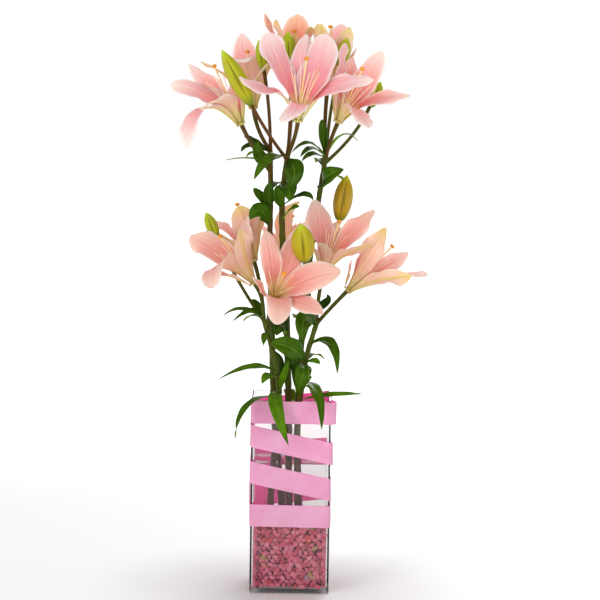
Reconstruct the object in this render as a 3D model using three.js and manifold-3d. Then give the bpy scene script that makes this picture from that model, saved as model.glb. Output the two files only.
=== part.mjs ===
// A bunch of pink asiatic lilies in a square glass vase with pebbles, water and a ribbon.
// Millimetres, +Z up, origin at the centre of the vase's foot.
import * as THREE from "three";
import Module from "manifold-3d";

const wasm = await Module();
wasm.setup();

// Vase.
const VASE_W = 100;
const VASE_H = 246;
const WALL = 3;
const FLOOR = 6;
const CORNER_R = 5;
const FOOT_BEVEL = 1.6;
const RIM_BEVEL = 0.8;
const DOME_R = 36;
const DOME_H = 5;
const GAP = 0.3;

// Pebbles and water.
const GRAVEL_TOP = 92;
const PEBBLE = 12.5;
const PEBBLE_DENT = 1.7;
const WATER_TOP = 165;

// Ribbon: a strip wound round the vase, height of its middle at each corner passed.
const RIBBON_W = 28;
const RIBBON_T = 0.9;
const RIBBON_OFF = 0.6;
const RIBBON_TURNS = [
  [-0.35, 231], [0, 231], [1, 231], [2, 231], [3, 221], [4, 201], [5, 179.5], [6, 171], [7, 163],
  [8, 155], [9, 133.5], [10, 123], [11, 112], [12, 100.3], [13, 99.2], [13.4, 99],
];
const RIBBON_BULGE = { at: 1.03, reach: 0.2, out: 6 };

// Tepals.
const START_ANGLE = 18;
const TEPAL_T = 0.9;
const TEPAL_ROWS = 6;
const CLAW = 0.1;
const BELLY = 2.4;
const CUP = 0.26;
const WAVE = 0.2;

// Receptacle, filaments, style and stigma.
const SEAT_R = 6.4;
const SEAT_H = 2.5;
const FILAMENT_R = 0.6;
const STYLE_R = 0.8;
const STIGMA_R = 3;

// Leaves, stems and stalks.
const LEAF_T = 0.8;
const LEAF_ROWS = 5;
const LEAF_FOLD = 0.32;
const STEM_SIDES = 6;
const STALK_SIDES = 5;
const STALK_R = 2.5;
const HOLE_GAP = 0.4;

const COLOURS = {
  glass: 0xc9dcd6,
  gravel: 0xc4607a,
  water: 0xbfd6d2,
  ribbon: 0xe38fc0,
  stem: 0x4a7328,
  petal: 0xf0a9b0,
  salmon: 0xee9a86,
  filament: 0xf3e3cf,
  bud: 0xa9b53a,
};

const v3 = (x, y, z) => new THREE.Vector3(x, y, z);
const vec = (a) => v3(a[0], a[1], a[2]);
const rad = THREE.MathUtils.degToRad;
const clamp01 = (t) => Math.min(1, Math.max(0, t));
const smooth = (t) => clamp01(t) ** 2 * (3 - 2 * clamp01(t));
const lerp = (a, b, t) => a + (b - a) * t;

// A small repeatable random number source.
function makeDraw(seed) {
  let state = seed;
  return () => {
    state = (state * 16807) % 2147483647;
    return state / 2147483647;
  };
}

// Triangles turned so that the closed surface they make faces outward.
function outward(points, faces) {
  let volume = 0;
  for (const [a, b, c] of faces) {
    volume += points[a].dot(points[b].clone().cross(points[c]));
  }
  return volume > 0 ? faces : faces.map(([a, b, c]) => [a, c, b]);
}

// A closed body from points and triangles.
function body(points, faces) {
  const mesh = new wasm.Mesh({
    numProp: 3,
    vertProperties: new Float32Array(points.flatMap((p) => [p.x, p.y, p.z])),
    triVerts: new Uint32Array(outward(points, faces).flat()),
  });
  return new wasm.Manifold(mesh);
}

// Points and triangles through rings of equal count; loop is the first ring.
function ringShell(rings) {
  const count = rings[0].length;
  const points = rings.flat();
  const sides = [];
  for (let i = 0; i + 1 < rings.length; i += 1) {
    for (let j = 0; j < count; j += 1) {
      const a = i * count + j;
      const b = i * count + ((j + 1) % count);
      sides.push([a, b, b + count], [a, b + count, a + count]);
    }
  }
  const last = (rings.length - 1) * count;
  const foot = [];
  for (let j = 1; j + 1 < count; j += 1) {
    foot.push([0, j + 1, j]);
    sides.push([last, last + j, last + j + 1]);
  }
  return { points, sides, foot, loop: rings[0].map((_, j) => j) };
}

// Points and triangles of a blade, split alike on both faces; loop is the foot's outline.
function bladeShell(rows, thick) {
  const nu = rows.length;
  const nv = rows[0].length;
  const face = (k) => rows.flat().map(({ p, n }) => p.clone().addScaledVector(n, k * thick));
  const points = [...face(0.5), ...face(-0.5)];
  const under = nu * nv;
  const sides = [];
  for (let i = 0; i + 1 < nu; i += 1) {
    for (let j = 0; j + 1 < nv; j += 1) {
      const a = i * nv + j;
      const [b, c, d] = [a + 1, a + nv, a + nv + 1];
      const cells = j < (nv - 1) / 2 ? [[a, b, d], [a, d, c]] : [[a, b, c], [b, d, c]];
      for (const [p, q, r] of cells) {
        sides.push([p, q, r], [p + under, r + under, q + under]);
      }
    }
  }
  const wall = (a, b) => [[a, b, b + under], [a, b + under, a + under]];
  const foot = [];
  for (let j = 0; j + 1 < nv; j += 1) {
    foot.push(...wall(j + 1, j));
    sides.push(...wall((nu - 1) * nv + j, (nu - 1) * nv + j + 1));
  }
  for (let i = 0; i + 1 < nu; i += 1) {
    sides.push(...wall(i * nv, (i + 1) * nv), ...wall((i + 1) * nv + nv - 1, i * nv + nv - 1));
  }
  const front = Array.from({ length: nv }, (_, j) => j);
  return { points, sides, foot, loop: [...front, ...front.map((j) => j + under).reverse()] };
}

function closed({ points, sides, foot }) {
  return body(points, [...sides, ...foot]);
}

const loft = (rings) => closed(ringShell(rings));
const blade = (rows, thick) => closed(bladeShell(rows, thick));

// Rings of a round tube along points, with a radius at each.
function tubeRings(path, radii, sides) {
  let across = null;
  return path.map((point, i) => {
    const ahead = path[Math.min(i + 1, path.length - 1)].clone();
    const along = ahead.sub(path[Math.max(i - 1, 0)]).normalize();
    if (!across) across = Math.abs(along.z) < 0.9 ? v3(0, 0, 1) : v3(1, 0, 0);
    across = across.clone().addScaledVector(along, -across.dot(along)).normalize();
    const other = along.clone().cross(across);
    const ring = [];
    for (let k = 0; k < sides; k += 1) {
      const t = (2 * Math.PI * k) / sides;
      const p = point.clone().addScaledVector(across, radii[i] * Math.cos(t));
      ring.push(p.addScaledVector(other, radii[i] * Math.sin(t)));
    }
    return ring;
  });
}

const tube = (path, radii, sides) => loft(tubeRings(path, radii, sides));

// One closed body: a hub of rings, with shoots whose feet are holes in its flat top.
function standOn(rings, frame, shoots) {
  const hub = ringShell(rings);
  const count = rings[0].length;
  const height = rings[rings.length - 1][0].clone().sub(frame.base).dot(frame.axis);
  const flat = (p) => {
    const q = p.clone().sub(frame.base);
    return new THREE.Vector2(q.dot(frame.e1), q.dot(frame.e2));
  };
  const skin = outward(hub.points, [...hub.foot, ...hub.sides]);
  const faces = skin.slice(0, skin.length - (count - 2));
  const points = [...hub.points];
  const ids = rings[0].map((_, j) => (rings.length - 1) * count + j);
  const holesFlat = [];
  for (const shoot of shoots) {
    const offset = points.length;
    for (const i of shoot.loop) {
      const p = shoot.points[i];
      p.addScaledVector(frame.axis, height - p.clone().sub(frame.base).dot(frame.axis));
    }
    const all = outward(shoot.points, [...shoot.foot, ...shoot.sides]);
    const open = all.slice(shoot.foot.length);
    faces.push(...open.map((f) => f.map((i) => i + offset)));
    points.push(...shoot.points);
    ids.push(...shoot.loop.map((i) => i + offset));
    holesFlat.push(shoot.loop.map((i) => flat(shoot.points[i])));
  }
  const outline = rings[rings.length - 1].map(flat);
  for (const [a, b, c] of THREE.ShapeUtils.triangulateShape(outline, holesFlat)) {
    const [p, q, r] = [a, b, c].map((i) => flat(points[ids[i]]));
    const turn = q.sub(p).cross(r.sub(p));
    faces.push(turn > 0 ? [ids[a], ids[b], ids[c]] : [ids[a], ids[c], ids[b]]);
  }
  return body(points, faces);
}

// Points of a quadratic curve from a past b to c.
function bend(a, b, c, count) {
  const curve = new THREE.QuadraticBezierCurve3(a, b, c);
  return curve.getPoints(count);
}

function join(solids) {
  return solids.reduce((sum, one) => sum.add(one));
}

// A square ring with rounded corners at height z.
function squareRing(width, corner, z, steps = 3) {
  const ring = [];
  for (let q = 0; q < 4; q += 1) {
    for (let k = 0; k <= steps; k += 1) {
      const t = (Math.PI / 2) * (q + k / steps);
      const cx = (width / 2 - corner) * (q === 0 || q === 3 ? 1 : -1);
      const cy = (width / 2 - corner) * (q < 2 ? 1 : -1);
      ring.push(v3(cx + corner * Math.cos(t), cy + corner * Math.sin(t), z));
    }
  }
  return ring;
}

// The glass dome of the vase's floor, grown by a margin.
function floorDome(margin) {
  const rings = [];
  for (const t of [0, 0.5, 0.96]) {
    const r = (DOME_R + margin) * Math.cos((t * Math.PI) / 2);
    const z = FLOOR - 1 + (DOME_H + 1 + margin) * Math.sin((t * Math.PI) / 2);
    rings.push(Array.from({ length: 12 }, (_, k) => {
      const a = (2 * Math.PI * k) / 12;
      return v3(r * Math.cos(a), r * Math.sin(a), z);
    }));
  }
  return loft(rings);
}

function makeVase() {
  const outer = loft([
    squareRing(VASE_W - 2 * FOOT_BEVEL, CORNER_R - FOOT_BEVEL, 0),
    squareRing(VASE_W, CORNER_R, FOOT_BEVEL),
    squareRing(VASE_W, CORNER_R, VASE_H - RIM_BEVEL),
    squareRing(VASE_W - 2 * RIM_BEVEL, CORNER_R - RIM_BEVEL, VASE_H),
  ]);
  const inner = loft([
    squareRing(VASE_W - 2 * WALL, CORNER_R - 2, FLOOR),
    squareRing(VASE_W - 2 * WALL, CORNER_R - 2, VASE_H - RIM_BEVEL),
    squareRing(VASE_W - 2 * WALL + 2 * RIM_BEVEL, CORNER_R - 2 + RIM_BEVEL, VASE_H + 0.01),
  ]);
  return outer.subtract(inner).add(floorDome(0));
}

// A block of pebbles whose sides and top are dented between the stones.
function makeGravel(holes) {
  const draw = makeDraw(41);
  const half = VASE_W / 2 - WALL - GAP;
  const steps = Math.round((2 * half) / PEBBLE);
  const levels = Math.round((GRAVEL_TOP - FLOOR) / PEBBLE);
  const corners = [[1, -1, 0, 1], [1, 1, -1, 0], [-1, 1, 0, -1], [-1, -1, 1, 0]];
  const rings = [];
  for (let i = 0; i <= levels; i += 1) {
    const z = lerp(FLOOR + GAP, GRAVEL_TOP, i / levels);
    const ring = [];
    for (const [sx, sy, dx, dy] of corners) {
      for (let k = 0; k < steps; k += 1) {
        const run = (2 * half * k) / steps;
        const dent = k === 0 ? 2.4 : PEBBLE_DENT * draw();
        const x = sx * half + dx * run - (dx === 0 || k === 0 ? Math.sign(sx) * dent : 0);
        const y = sy * half + dy * run - (dy === 0 || k === 0 ? Math.sign(sy) * dent : 0);
        ring.push(v3(x, y, i === 0 ? z : z + (draw() - 0.5) * 2.4));
      }
    }
    rings.push(ring);
  }
  const points = rings.flat();
  const count = 4 * steps;
  const faces = [];
  for (let i = 0; i < levels; i += 1) {
    for (let j = 0; j < count; j += 1) {
      const a = i * count + j;
      const b = i * count + ((j + 1) % count);
      faces.push([a, b, b + count], [a, b + count, a + count]);
    }
  }
  const shrink = [0.55];
  let from = levels * count;
  for (const s of shrink) {
    const start = points.length;
    for (let j = 0; j < count; j += 1) {
      const p = points[levels * count + j];
      points.push(v3(p.x * s, p.y * s, GRAVEL_TOP - 1.5 + 3.6 * draw()));
    }
    for (let j = 0; j < count; j += 1) {
      const k = (j + 1) % count;
      faces.push([from + j, from + k, start + k], [from + j, start + k, start + j]);
    }
    from = start;
  }
  const top = points.push(v3(0, 0, GRAVEL_TOP)) - 1;
  const foot = points.push(v3(0, 0, FLOOR + GAP)) - 1;
  for (let j = 0; j < count; j += 1) {
    const k = (j + 1) % count;
    faces.push([from + j, from + k, top], [k, j, foot]);
  }
  return body(points, faces).subtract(floorDome(GAP)).subtract(holes);
}

function makeWater(holes) {
  const width = VASE_W - 2 * WALL - 2 * GAP;
  const rings = [
    squareRing(width, CORNER_R - 2, GRAVEL_TOP + 3.4),
    squareRing(width, CORNER_R - 2, WATER_TOP),
  ];
  return loft(rings).subtract(holes);
}

// The ribbon's middle line: position round the vase, outward direction and height.
function ribbonPoint(s) {
  const k = RIBBON_TURNS.findIndex((row) => row[0] >= s);
  const [s1, z1] = RIBBON_TURNS[Math.max(k, 1)];
  const [s0, z0] = RIBBON_TURNS[Math.max(k, 1) - 1];
  const z = lerp(z0, z1, (s - s0) / (s1 - s0));
  const quarter = Math.floor(s);
  const run = s - quarter;
  const flat = VASE_W / 2 - CORNER_R;
  const along = flat * clamp01((run - 0.06) / 0.88) * 2 - flat;
  const swing = run < 0.06 ? (run / 0.06 - 1) * 45 : run > 0.94 ? ((run - 0.94) / 0.06) * 45 : 0;
  const loose = Math.abs(s - RIBBON_BULGE.at) / RIBBON_BULGE.reach;
  const out = RIBBON_OFF + RIBBON_T / 2 + RIBBON_BULGE.out * (1 - smooth(loose));
  const turn = rad(90 * quarter + swing);
  const base = rad(90 * quarter);
  const normal = v3(Math.sin(turn), -Math.cos(turn), 0);
  const straight = v3(Math.sin(base), -Math.cos(base), 0);
  const side = v3(Math.cos(base), Math.sin(base), 0);
  const p = straight.multiplyScalar(flat).addScaledVector(side, along);
  return { p: p.addScaledVector(normal, CORNER_R + out).setZ(z), n: normal };
}

function makeRibbon() {
  const rows = [];
  const first = RIBBON_TURNS[0][0];
  const last = RIBBON_TURNS[RIBBON_TURNS.length - 1][0];
  const stops = [0.0001, 0.06, 0.5, 0.94];
  for (let q = Math.floor(first); q <= last; q += 1) {
    for (const part of stops) {
      const s = q + part;
      if (s <= first || s >= last) continue;
      const { p, n } = ribbonPoint(s);
      const up = v3(0, 0, RIBBON_W / 2);
      rows.push([{ p: p.clone().sub(up), n }, { p: p.clone().add(up), n }]);
    }
  }
  return blade(rows, RIBBON_T);
}

// Share of a tepal's full half width at u; round tips for the inner ones.
function tepalWidth(u, inner) {
  const grow = CLAW + (1 - CLAW) * Math.sin((Math.PI / 2) * clamp01(u / 0.58));
  const t = clamp01((u - 0.58) / 0.42);
  const power = inner ? 2.6 : 2.0;
  const tip = Math.max(0, 1 - t ** power) ** (inner ? 0.58 : 0.74);
  return Math.max(grow * tip, 0.05);
}

// The angle of a tepal's midrib from the bloom's axis, in degrees.
function tepalAngle(t, u) {
  const spread = (t.open - START_ANGLE) * smooth((u - 0.08) / 0.56);
  return START_ANGLE + spread + t.curl * smooth((u - 0.45) / 0.55);
}

// Distance out and up of the midrib at u, for a tepal one unit long.
function tepalReach(t, u) {
  const steps = 24;
  let out = 0;
  let up = 0;
  for (let i = 0; i < steps; i += 1) {
    const a = rad(tepalAngle(t, ((i + 0.5) / steps) * u));
    out += (Math.sin(a) * u) / steps;
    up += (Math.cos(a) * u) / steps;
  }
  return { out, up };
}

// One point of a tepal's middle surface, v from -1 to 1 across.
function tepalPoint(frame, t, u, v) {
  const { out, up } = tepalReach(t, u);
  const turn = rad(t.phi + t.side * u * u);
  const away = frame.e1.clone().multiplyScalar(Math.cos(turn));
  away.addScaledVector(frame.e2, Math.sin(turn));
  const cross = frame.e2.clone().multiplyScalar(Math.cos(turn));
  cross.addScaledVector(frame.e1, -Math.sin(turn));
  const lean = rad(tepalAngle(t, u));
  const face = away.clone().multiplyScalar(-Math.cos(lean));
  face.addScaledVector(frame.axis, Math.sin(lean));
  const twist = rad(t.twist * u * u);
  const right = cross.clone().multiplyScalar(Math.cos(twist));
  right.addScaledVector(face, Math.sin(twist));
  const normal = face.clone().multiplyScalar(Math.cos(twist));
  normal.addScaledVector(cross, -Math.sin(twist));
  const radius = t.root + t.length * out;
  const wrap = 1 - smooth((u - 0.15) / 0.45);
  const full = (t.wide / 2) * tepalWidth(u, t.inner);
  const room = (0.85 * radius) / Math.max(wrap, 0.05);
  const half = (full ** -4 + room ** -4) ** -0.25;
  const cup = CUP * (0.25 + 0.75 * smooth(u / 0.15)) * (1 - 0.8 * smooth((u - 0.3) / 0.6));
  const ripple = WAVE * smooth((u - 0.2) / 0.4) * Math.sin(8.5 * u + t.phase + 1.3 * Math.sign(v));
  const lift = half * v * v * (cup + ripple);
  const p = frame.base.clone().addScaledVector(frame.axis, SEAT_H + t.length * up);
  const belly = t.inner ? 0 : BELLY * smooth(u / 0.3);
  const bow = (half * v) / radius;
  const side = (1 - wrap) * half * v + wrap * radius * Math.sin(bow);
  const inward = radius * (1 - Math.cos(bow)) - belly;
  p.addScaledVector(away, radius - wrap * inward);
  p.addScaledVector(right, side).addScaledVector(normal, (1 - wrap) * (lift - belly));
  return { p, n: normal };
}

// Base point and axes of a bloom: e1 lies on the front side, e2 to its right.
function bloomFrame(bloom) {
  const axis = vec(bloom.axis).normalize();
  const e1 = v3(0, -1, 0);
  e1.addScaledVector(axis, -e1.dot(axis)).normalize();
  return { base: vec(bloom.base), axis, e1, e2: axis.clone().cross(e1) };
}

// The six tepals of a bloom: even ones are the broad inner ones.
function tepalsOf(bloom) {
  return bloom.tepals.map(([phi, open, curl, length, wide, side = 0, twist = 0], i) => ({
    phi, open, curl, length, wide, side, twist,
    inner: i % 2 === 0,
    root: i % 2 === 0 ? 2.9 : 4.9,
    phase: 1.7 * i + bloom.base[0] * 0.1,
  }));
}

// Rows of points across a tepal, from foot to tip.
function tepalRows(frame, t) {
  const rows = [];
  for (let i = 0; i < TEPAL_ROWS; i += 1) {
    const share = i / (TEPAL_ROWS - 1);
    const u = (share + Math.sin((Math.PI / 2) * share)) / 2;
    rows.push([-1, 0, 1].map((v) => tepalPoint(frame, t, u, v)));
  }
  return rows;
}

// A point of a bloom's frame, given outward and upward of its base.
function framePoint(frame, angle, out, up) {
  const p = frame.base.clone().addScaledVector(frame.axis, up);
  p.addScaledVector(frame.e1, out * Math.cos(angle));
  return p.addScaledVector(frame.e2, out * Math.sin(angle));
}

function hubRing(frame, radius, up, sides, notch = 1) {
  return Array.from({ length: sides }, (_, k) => {
    const size = k % 2 ? radius : radius * notch;
    return framePoint(frame, (2 * Math.PI * k) / sides, size, up);
  });
}

function makeBloom(bloom) {
  const frame = bloomFrame(bloom);
  const seat = [hubRing(frame, 2.6, 0, 8), hubRing(frame, SEAT_R, SEAT_H, 8)];
  const shoots = tepalsOf(bloom).map((t) => bladeShell(tepalRows(frame, t), TEPAL_T));
  return [standOn(seat, frame, shoots)];
}

// Filaments, style and stigma of a bloom, standing clear of its seat.
function makeStamens(bloom) {
  const frame = bloomFrame(bloom);
  const foot = SEAT_H + GAP;
  const top = foot + 2;
  const { reach = 74, fan = 17, lean = [0, 0], turn = 20 } = bloom;
  const at = (angle, out, t, tall) => {
    const p = framePoint(frame, angle, out, top + t * (tall - top));
    p.addScaledVector(frame.e1, lean[0] * t * t);
    return p.addScaledVector(frame.e2, lean[1] * t * t);
  };
  const shoots = [];
  for (let k = 0; k < 6; k += 1) {
    const angle = rad(60 * k + turn);
    const tall = (reach - 12) * (1 - 0.04 * (k % 3));
    const path = [0, 0.5, 1].map((t) => at(angle, 1.6 + fan * t ** 1.35, t, tall));
    shoots.push(ringShell(tubeRings(path, [0.5, FILAMENT_R, 0.5], 3)));
  }
  const style = [0, 0.5, 0.96].map((t) => at(0, 0, t, reach));
  const rings = style.map((p) => hubRing({ ...frame, base: p }, STYLE_R, 0, 6));
  const head = at(0, 0, 1, reach);
  rings.push(hubRing({ ...frame, base: head }, STIGMA_R, 0, 6, 0.6));
  rings.push(hubRing({ ...frame, base: head }, STIGMA_R * 0.8, 2, 6, 0.5));
  shoots.push(ringShell(rings));
  return [standOn([hubRing(frame, 1.8, foot, 6), hubRing(frame, 2.6, top, 6)], frame, shoots)];
}

// A closed bud with three broad lobes.
function makeBud(bud) {
  const base = vec(bud.base);
  const axis = vec(bud.tip).sub(base);
  const length = axis.length();
  axis.normalize();
  const side = Math.abs(axis.z) > 0.8 ? v3(0, -1, 0) : v3(0, 0, 1);
  side.addScaledVector(axis, -side.dot(axis)).normalize();
  const other = axis.clone().cross(side);
  const rings = [];
  for (const u of [0, 0.14, 0.4, 0.68, 0.88, 1]) {
    const swell = 0.26 + 0.74 * Math.sin(Math.PI * clamp01(u) ** 0.85) ** 0.8;
    const close = u > 0.7 ? Math.sqrt(Math.max(0, 1 - ((u - 0.7) / 0.31) ** 2)) : 1;
    const r = (bud.wide / 2) * Math.max(0.1, swell * close);
    const ring = [];
    for (let k = 0; k < 9; k += 1) {
      const q = (2 * Math.PI * k) / 9 + (bud.turn ?? 0);
      const lobe = r * (k % 3 === 0 ? 1 - 0.16 * Math.sin(Math.PI * u) : 1);
      const p = base.clone().addScaledVector(axis, u * length);
      p.addScaledVector(side, lobe * Math.cos(q)).addScaledVector(other, lobe * Math.sin(q));
      ring.push(p);
    }
    rings.push(ring);
  }
  return loft(rings);
}

// Share of a leaf's full half width at u.
function leafWidth(u) {
  const grow = 0.26 + 0.74 * smooth(u / 0.38);
  const t = clamp01((u - 0.38) / 0.62);
  return Math.max(0.05, grow * (1 - t ** 2.1) ** 0.85);
}

// One point of a leaf's middle surface.
function leafPoint(leaf, u, v) {
  const [a, b, c] = [leaf.from, leaf.over, leaf.tip];
  const p = a.clone().multiplyScalar((1 - u) ** 2);
  p.addScaledVector(b, 2 * u * (1 - u)).addScaledVector(c, u * u);
  const along = b.clone().sub(a).multiplyScalar(1 - u);
  along.addScaledVector(c.clone().sub(b), u).normalize();
  const face = leaf.face.clone().addScaledVector(along, -leaf.face.dot(along)).normalize();
  const across = along.clone().cross(face);
  const twist = rad(leaf.roll + leaf.twist * u);
  const right = across.clone().multiplyScalar(Math.cos(twist)).addScaledVector(face, Math.sin(twist));
  const n = face.clone().multiplyScalar(Math.cos(twist)).addScaledVector(across, -Math.sin(twist));
  const half = (leaf.wide / 2) * leafWidth(u);
  const fold = LEAF_FOLD * (1 - 0.5 * u) + 0.1 * Math.sin(7 * u + leaf.phase + Math.sign(v));
  p.addScaledVector(right, half * v).addScaledVector(n, half * Math.abs(v) * fold);
  return { p, n };
}

function makeLeaf(leaf) {
  const rows = [];
  for (let i = 0; i < LEAF_ROWS; i += 1) {
    const u = i / (LEAF_ROWS - 1);
    rows.push([-1, 0, 1].map((v) => leafPoint(leaf, u, v)));
  }
  return blade(rows, LEAF_T);
}

// Stems: points from the foot up, radius at both ends.
const STEMS = [
  { name: "stem_1", path: [[-6, 14, 26], [-12, 13, 126], [-21, 10, 209], [-27, 4, 350], [-30, 1, 440],
    [-30, 3, 500], [-31, 6, 556]], radius: [4.6, 3.2] },
  { name: "stem_2", path: [[3, -3, 26], [-2, -3, 126], [-3, -1, 209], [-8, 0, 350], [-14, 0, 440],
    [-15, -4, 500], [-9, -10, 552]], radius: [4.8, 3.4] },
  { name: "stem_3", path: [[15, 12, 26], [10, 13, 126], [8, 15, 209], [14, 28, 350], [24, 39, 440],
    [32, 38, 500], [39, 21, 548]], radius: [4.6, 3.2] },
  { name: "stem_4", path: [[-29, -9, 26], [-24, -12, 126], [-18, -14, 209], [-16, -18, 256],
    [-25, -21, 306], [-37, -17, 346]], radius: [4.4, 3] },
  { name: "stem_5", path: [[12, -14, 26], [9, -14, 126], [8, -13, 209], [12, -14, 256],
    [18, -12, 296], [30, -4, 338]], radius: [4.4, 3.2] },
];

// Blooms: stem that carries them, base of the receptacle, direction they face, and the six
// tepals in turn, inner then outer: turn from the front, opening, curl, length, width,
// sideways bend and twist (degrees and millimetres).
const BLOOMS = [
  { stem: 1, from: 552, base: [3, -34, 593], axis: [0.12, -0.3, 0.95], reach: 84, colour: "petal",
    tepals: [[2, 100, 10, 88, 25, -19], [84, 58, 20, 114, 36, 2, 42], [141, 28, 4, 113, 46, 15, 14],
      [188, 32, 6, 110, 32, -4], [252, 36, 2, 114, 47, -8, -34], [298, 85, -29, 108, 25, 0, -28]] },
  { stem: 0, from: 530, base: [-67, -15, 588], axis: [-0.43, -0.1, 0.9], reach: 82, colour: "petal",
    tepals: [[348, 78, 4, 98, 36, -12], [72, 60, 0, 86, 26], [140, 24, 6, 66, 29],
      [208, 38, 4, 110, 26], [246, 40, 14, 101, 41, 8, -36], [303, 100, 52, 118, 32, 0, -36]] },
  { stem: 0, from: 556, base: [-53, 32, 607], axis: [-0.12, 0.02, 0.99], reach: 74, fan: 11,
    colour: "petal",
    tepals: [[352, 26, 84, 96, 36], [62, 30, 10, 90, 26], [115, 16, 6, 84, 33],
      [187, 28, -6, 106, 36], [238, 14, 2, 68, 30], [296, 50, 10, 92, 28]] },
  { stem: 1, from: 552, base: [-4, 66, 640], axis: [0.02, -0.16, 0.98], reach: 68, fan: 11,
    colour: "salmon",
    tepals: [[174, 20, 6, 88, 37], [249, 25, -2, 92, 24], [298, 14, 2, 84, 33], [0, 24, 0, 74, 24],
      [58, 14, 0, 76, 33], [112, 24, -8, 60, 22]] },
  { stem: 2, from: 540, base: [40, 42, 634], axis: [0.09, 0.12, 0.98], reach: 80, fan: 11,
    colour: "petal", lean: [0, -4],
    tepals: [[44, 16, 4, 80, 33], [96, 30, -6, 60, 22], [168, 26, 14, 100, 34],
      [236, 30, -8, 50, 18], [292, 12, -4, 80, 27], [338, 30, 0, 84, 25]] },
  { stem: 2, from: 548, base: [53, -4, 592], axis: [0.38, -0.28, 0.88], reach: 78, colour: "petal",
    tepals: [[28, 92, 6, 88, 29], [100, 52, 14, 98, 28, 0, 25], [148, 18, 2, 102, 35, 8],
      [200, 34, 0, 84, 28], [258, 22, 2, 97, 33, -22], [288, 32, -10, 70, 22]] },
  { stem: 3, from: 330, base: [-26, -30, 370], axis: [0.2, -0.83, 0.52], reach: 76, colour: "petal",
    tepals: [[12, 34, 60, 102, 34], [62, 44, 18, 104, 28], [114, 38, 32, 110, 38],
      [178, 60, -2, 110, 31], [223, 42, 30, 96, 26, -4], [304, 28, -6, 84, 21]] },
  { stem: 4, from: 338, base: [38, 6, 400], axis: [0.24, -0.12, 0.95], reach: 72, colour: "petal",
    fan: 12, lean: [0, 2],
    tepals: [[342, 48, 20, 64, 24], [54, 54, 0, 82, 26, 0, -40], [124, 30, 6, 102, 38],
      [180, 28, 4, 70, 25], [242, 22, 8, 92, 46, 0, -24], [288, 50, -14, 74, 24]] },
  { stem: 3, from: 346, base: [-48, -22, 389], axis: [-0.58, -0.12, 0.8], reach: 76, colour: "petal",
    tepals: [[332, 66, 62, 114, 38], [30, 44, -10, 90, 27], [92, 30, 10, 84, 34],
      [150, 58, -6, 92, 27], [212, 38, 14, 108, 40], [282, 42, -2, 62, 24]] },
  { stem: 3, from: 346, base: [-50, 40, 412], axis: [-0.3, 0.15, 0.94], reach: 78, fan: 12,
    colour: "petal",
    tepals: [[8, 16, 10, 74, 33], [60, 28, 4, 72, 26], [124, 22, 10, 74, 29], [176, 42, 2, 84, 26],
      [240, 34, 8, 78, 34], [298, 42, 4, 60, 25]] },
  { stem: 1, from: 352, base: [-6, 60, 404], axis: [0.05, 0.34, 0.94], reach: 70, fan: 12,
    colour: "salmon",
    tepals: [[65, 26, 14, 88, 34], [125, 40, 14, 90, 28], [167, 36, 24, 94, 34],
      [221, 46, 8, 88, 27], [266, 24, -10, 40, 14], [319, 30, 34, 92, 23, 49]] },
  { stem: 4, from: 338, base: [68, -6, 380], axis: [0.69, -0.1, 0.72], reach: 82, colour: "petal",
    tepals: [[316, 18, 0, 98, 31], [40, 46, 0, 98, 29, 0, -40], [98, 36, 10, 102, 36],
      [156, 43, -4, 100, 26], [216, 33, 2, 76, 31], [268, 34, -6, 36, 18]] },
];

// Buds: stem, height where the stalk leaves it, base, tip and width.
const BUDS = [
  { stem: 1, from: 546, base: [-54, -58, 614], tip: [-91, -72, 681], wide: 21 },
  { stem: 1, from: 552, base: [-8, 12, 662], tip: [-11, 12, 706], wide: 17 },
  { stem: 2, from: 548, base: [55, 24, 662], tip: [64, 22, 699], wide: 17 },
  { stem: 2, from: 540, base: [94, 34, 612], tip: [108, 38, 644], wide: 17 },
  { stem: 4, from: 338, base: [14, -59, 422], tip: [9, -86, 470], wide: 27 },
  { stem: 0, from: 325, base: [-98, 22, 444], tip: [-112, 22, 476], wide: 15 },
  { stem: 2, from: 440, base: [58, 42, 466], tip: [67, 40, 525], wide: 23 },
  { stem: 0, from: 556, base: [-40, -14, 656], tip: [-47, -20, 694], wide: 13 },
];

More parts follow.
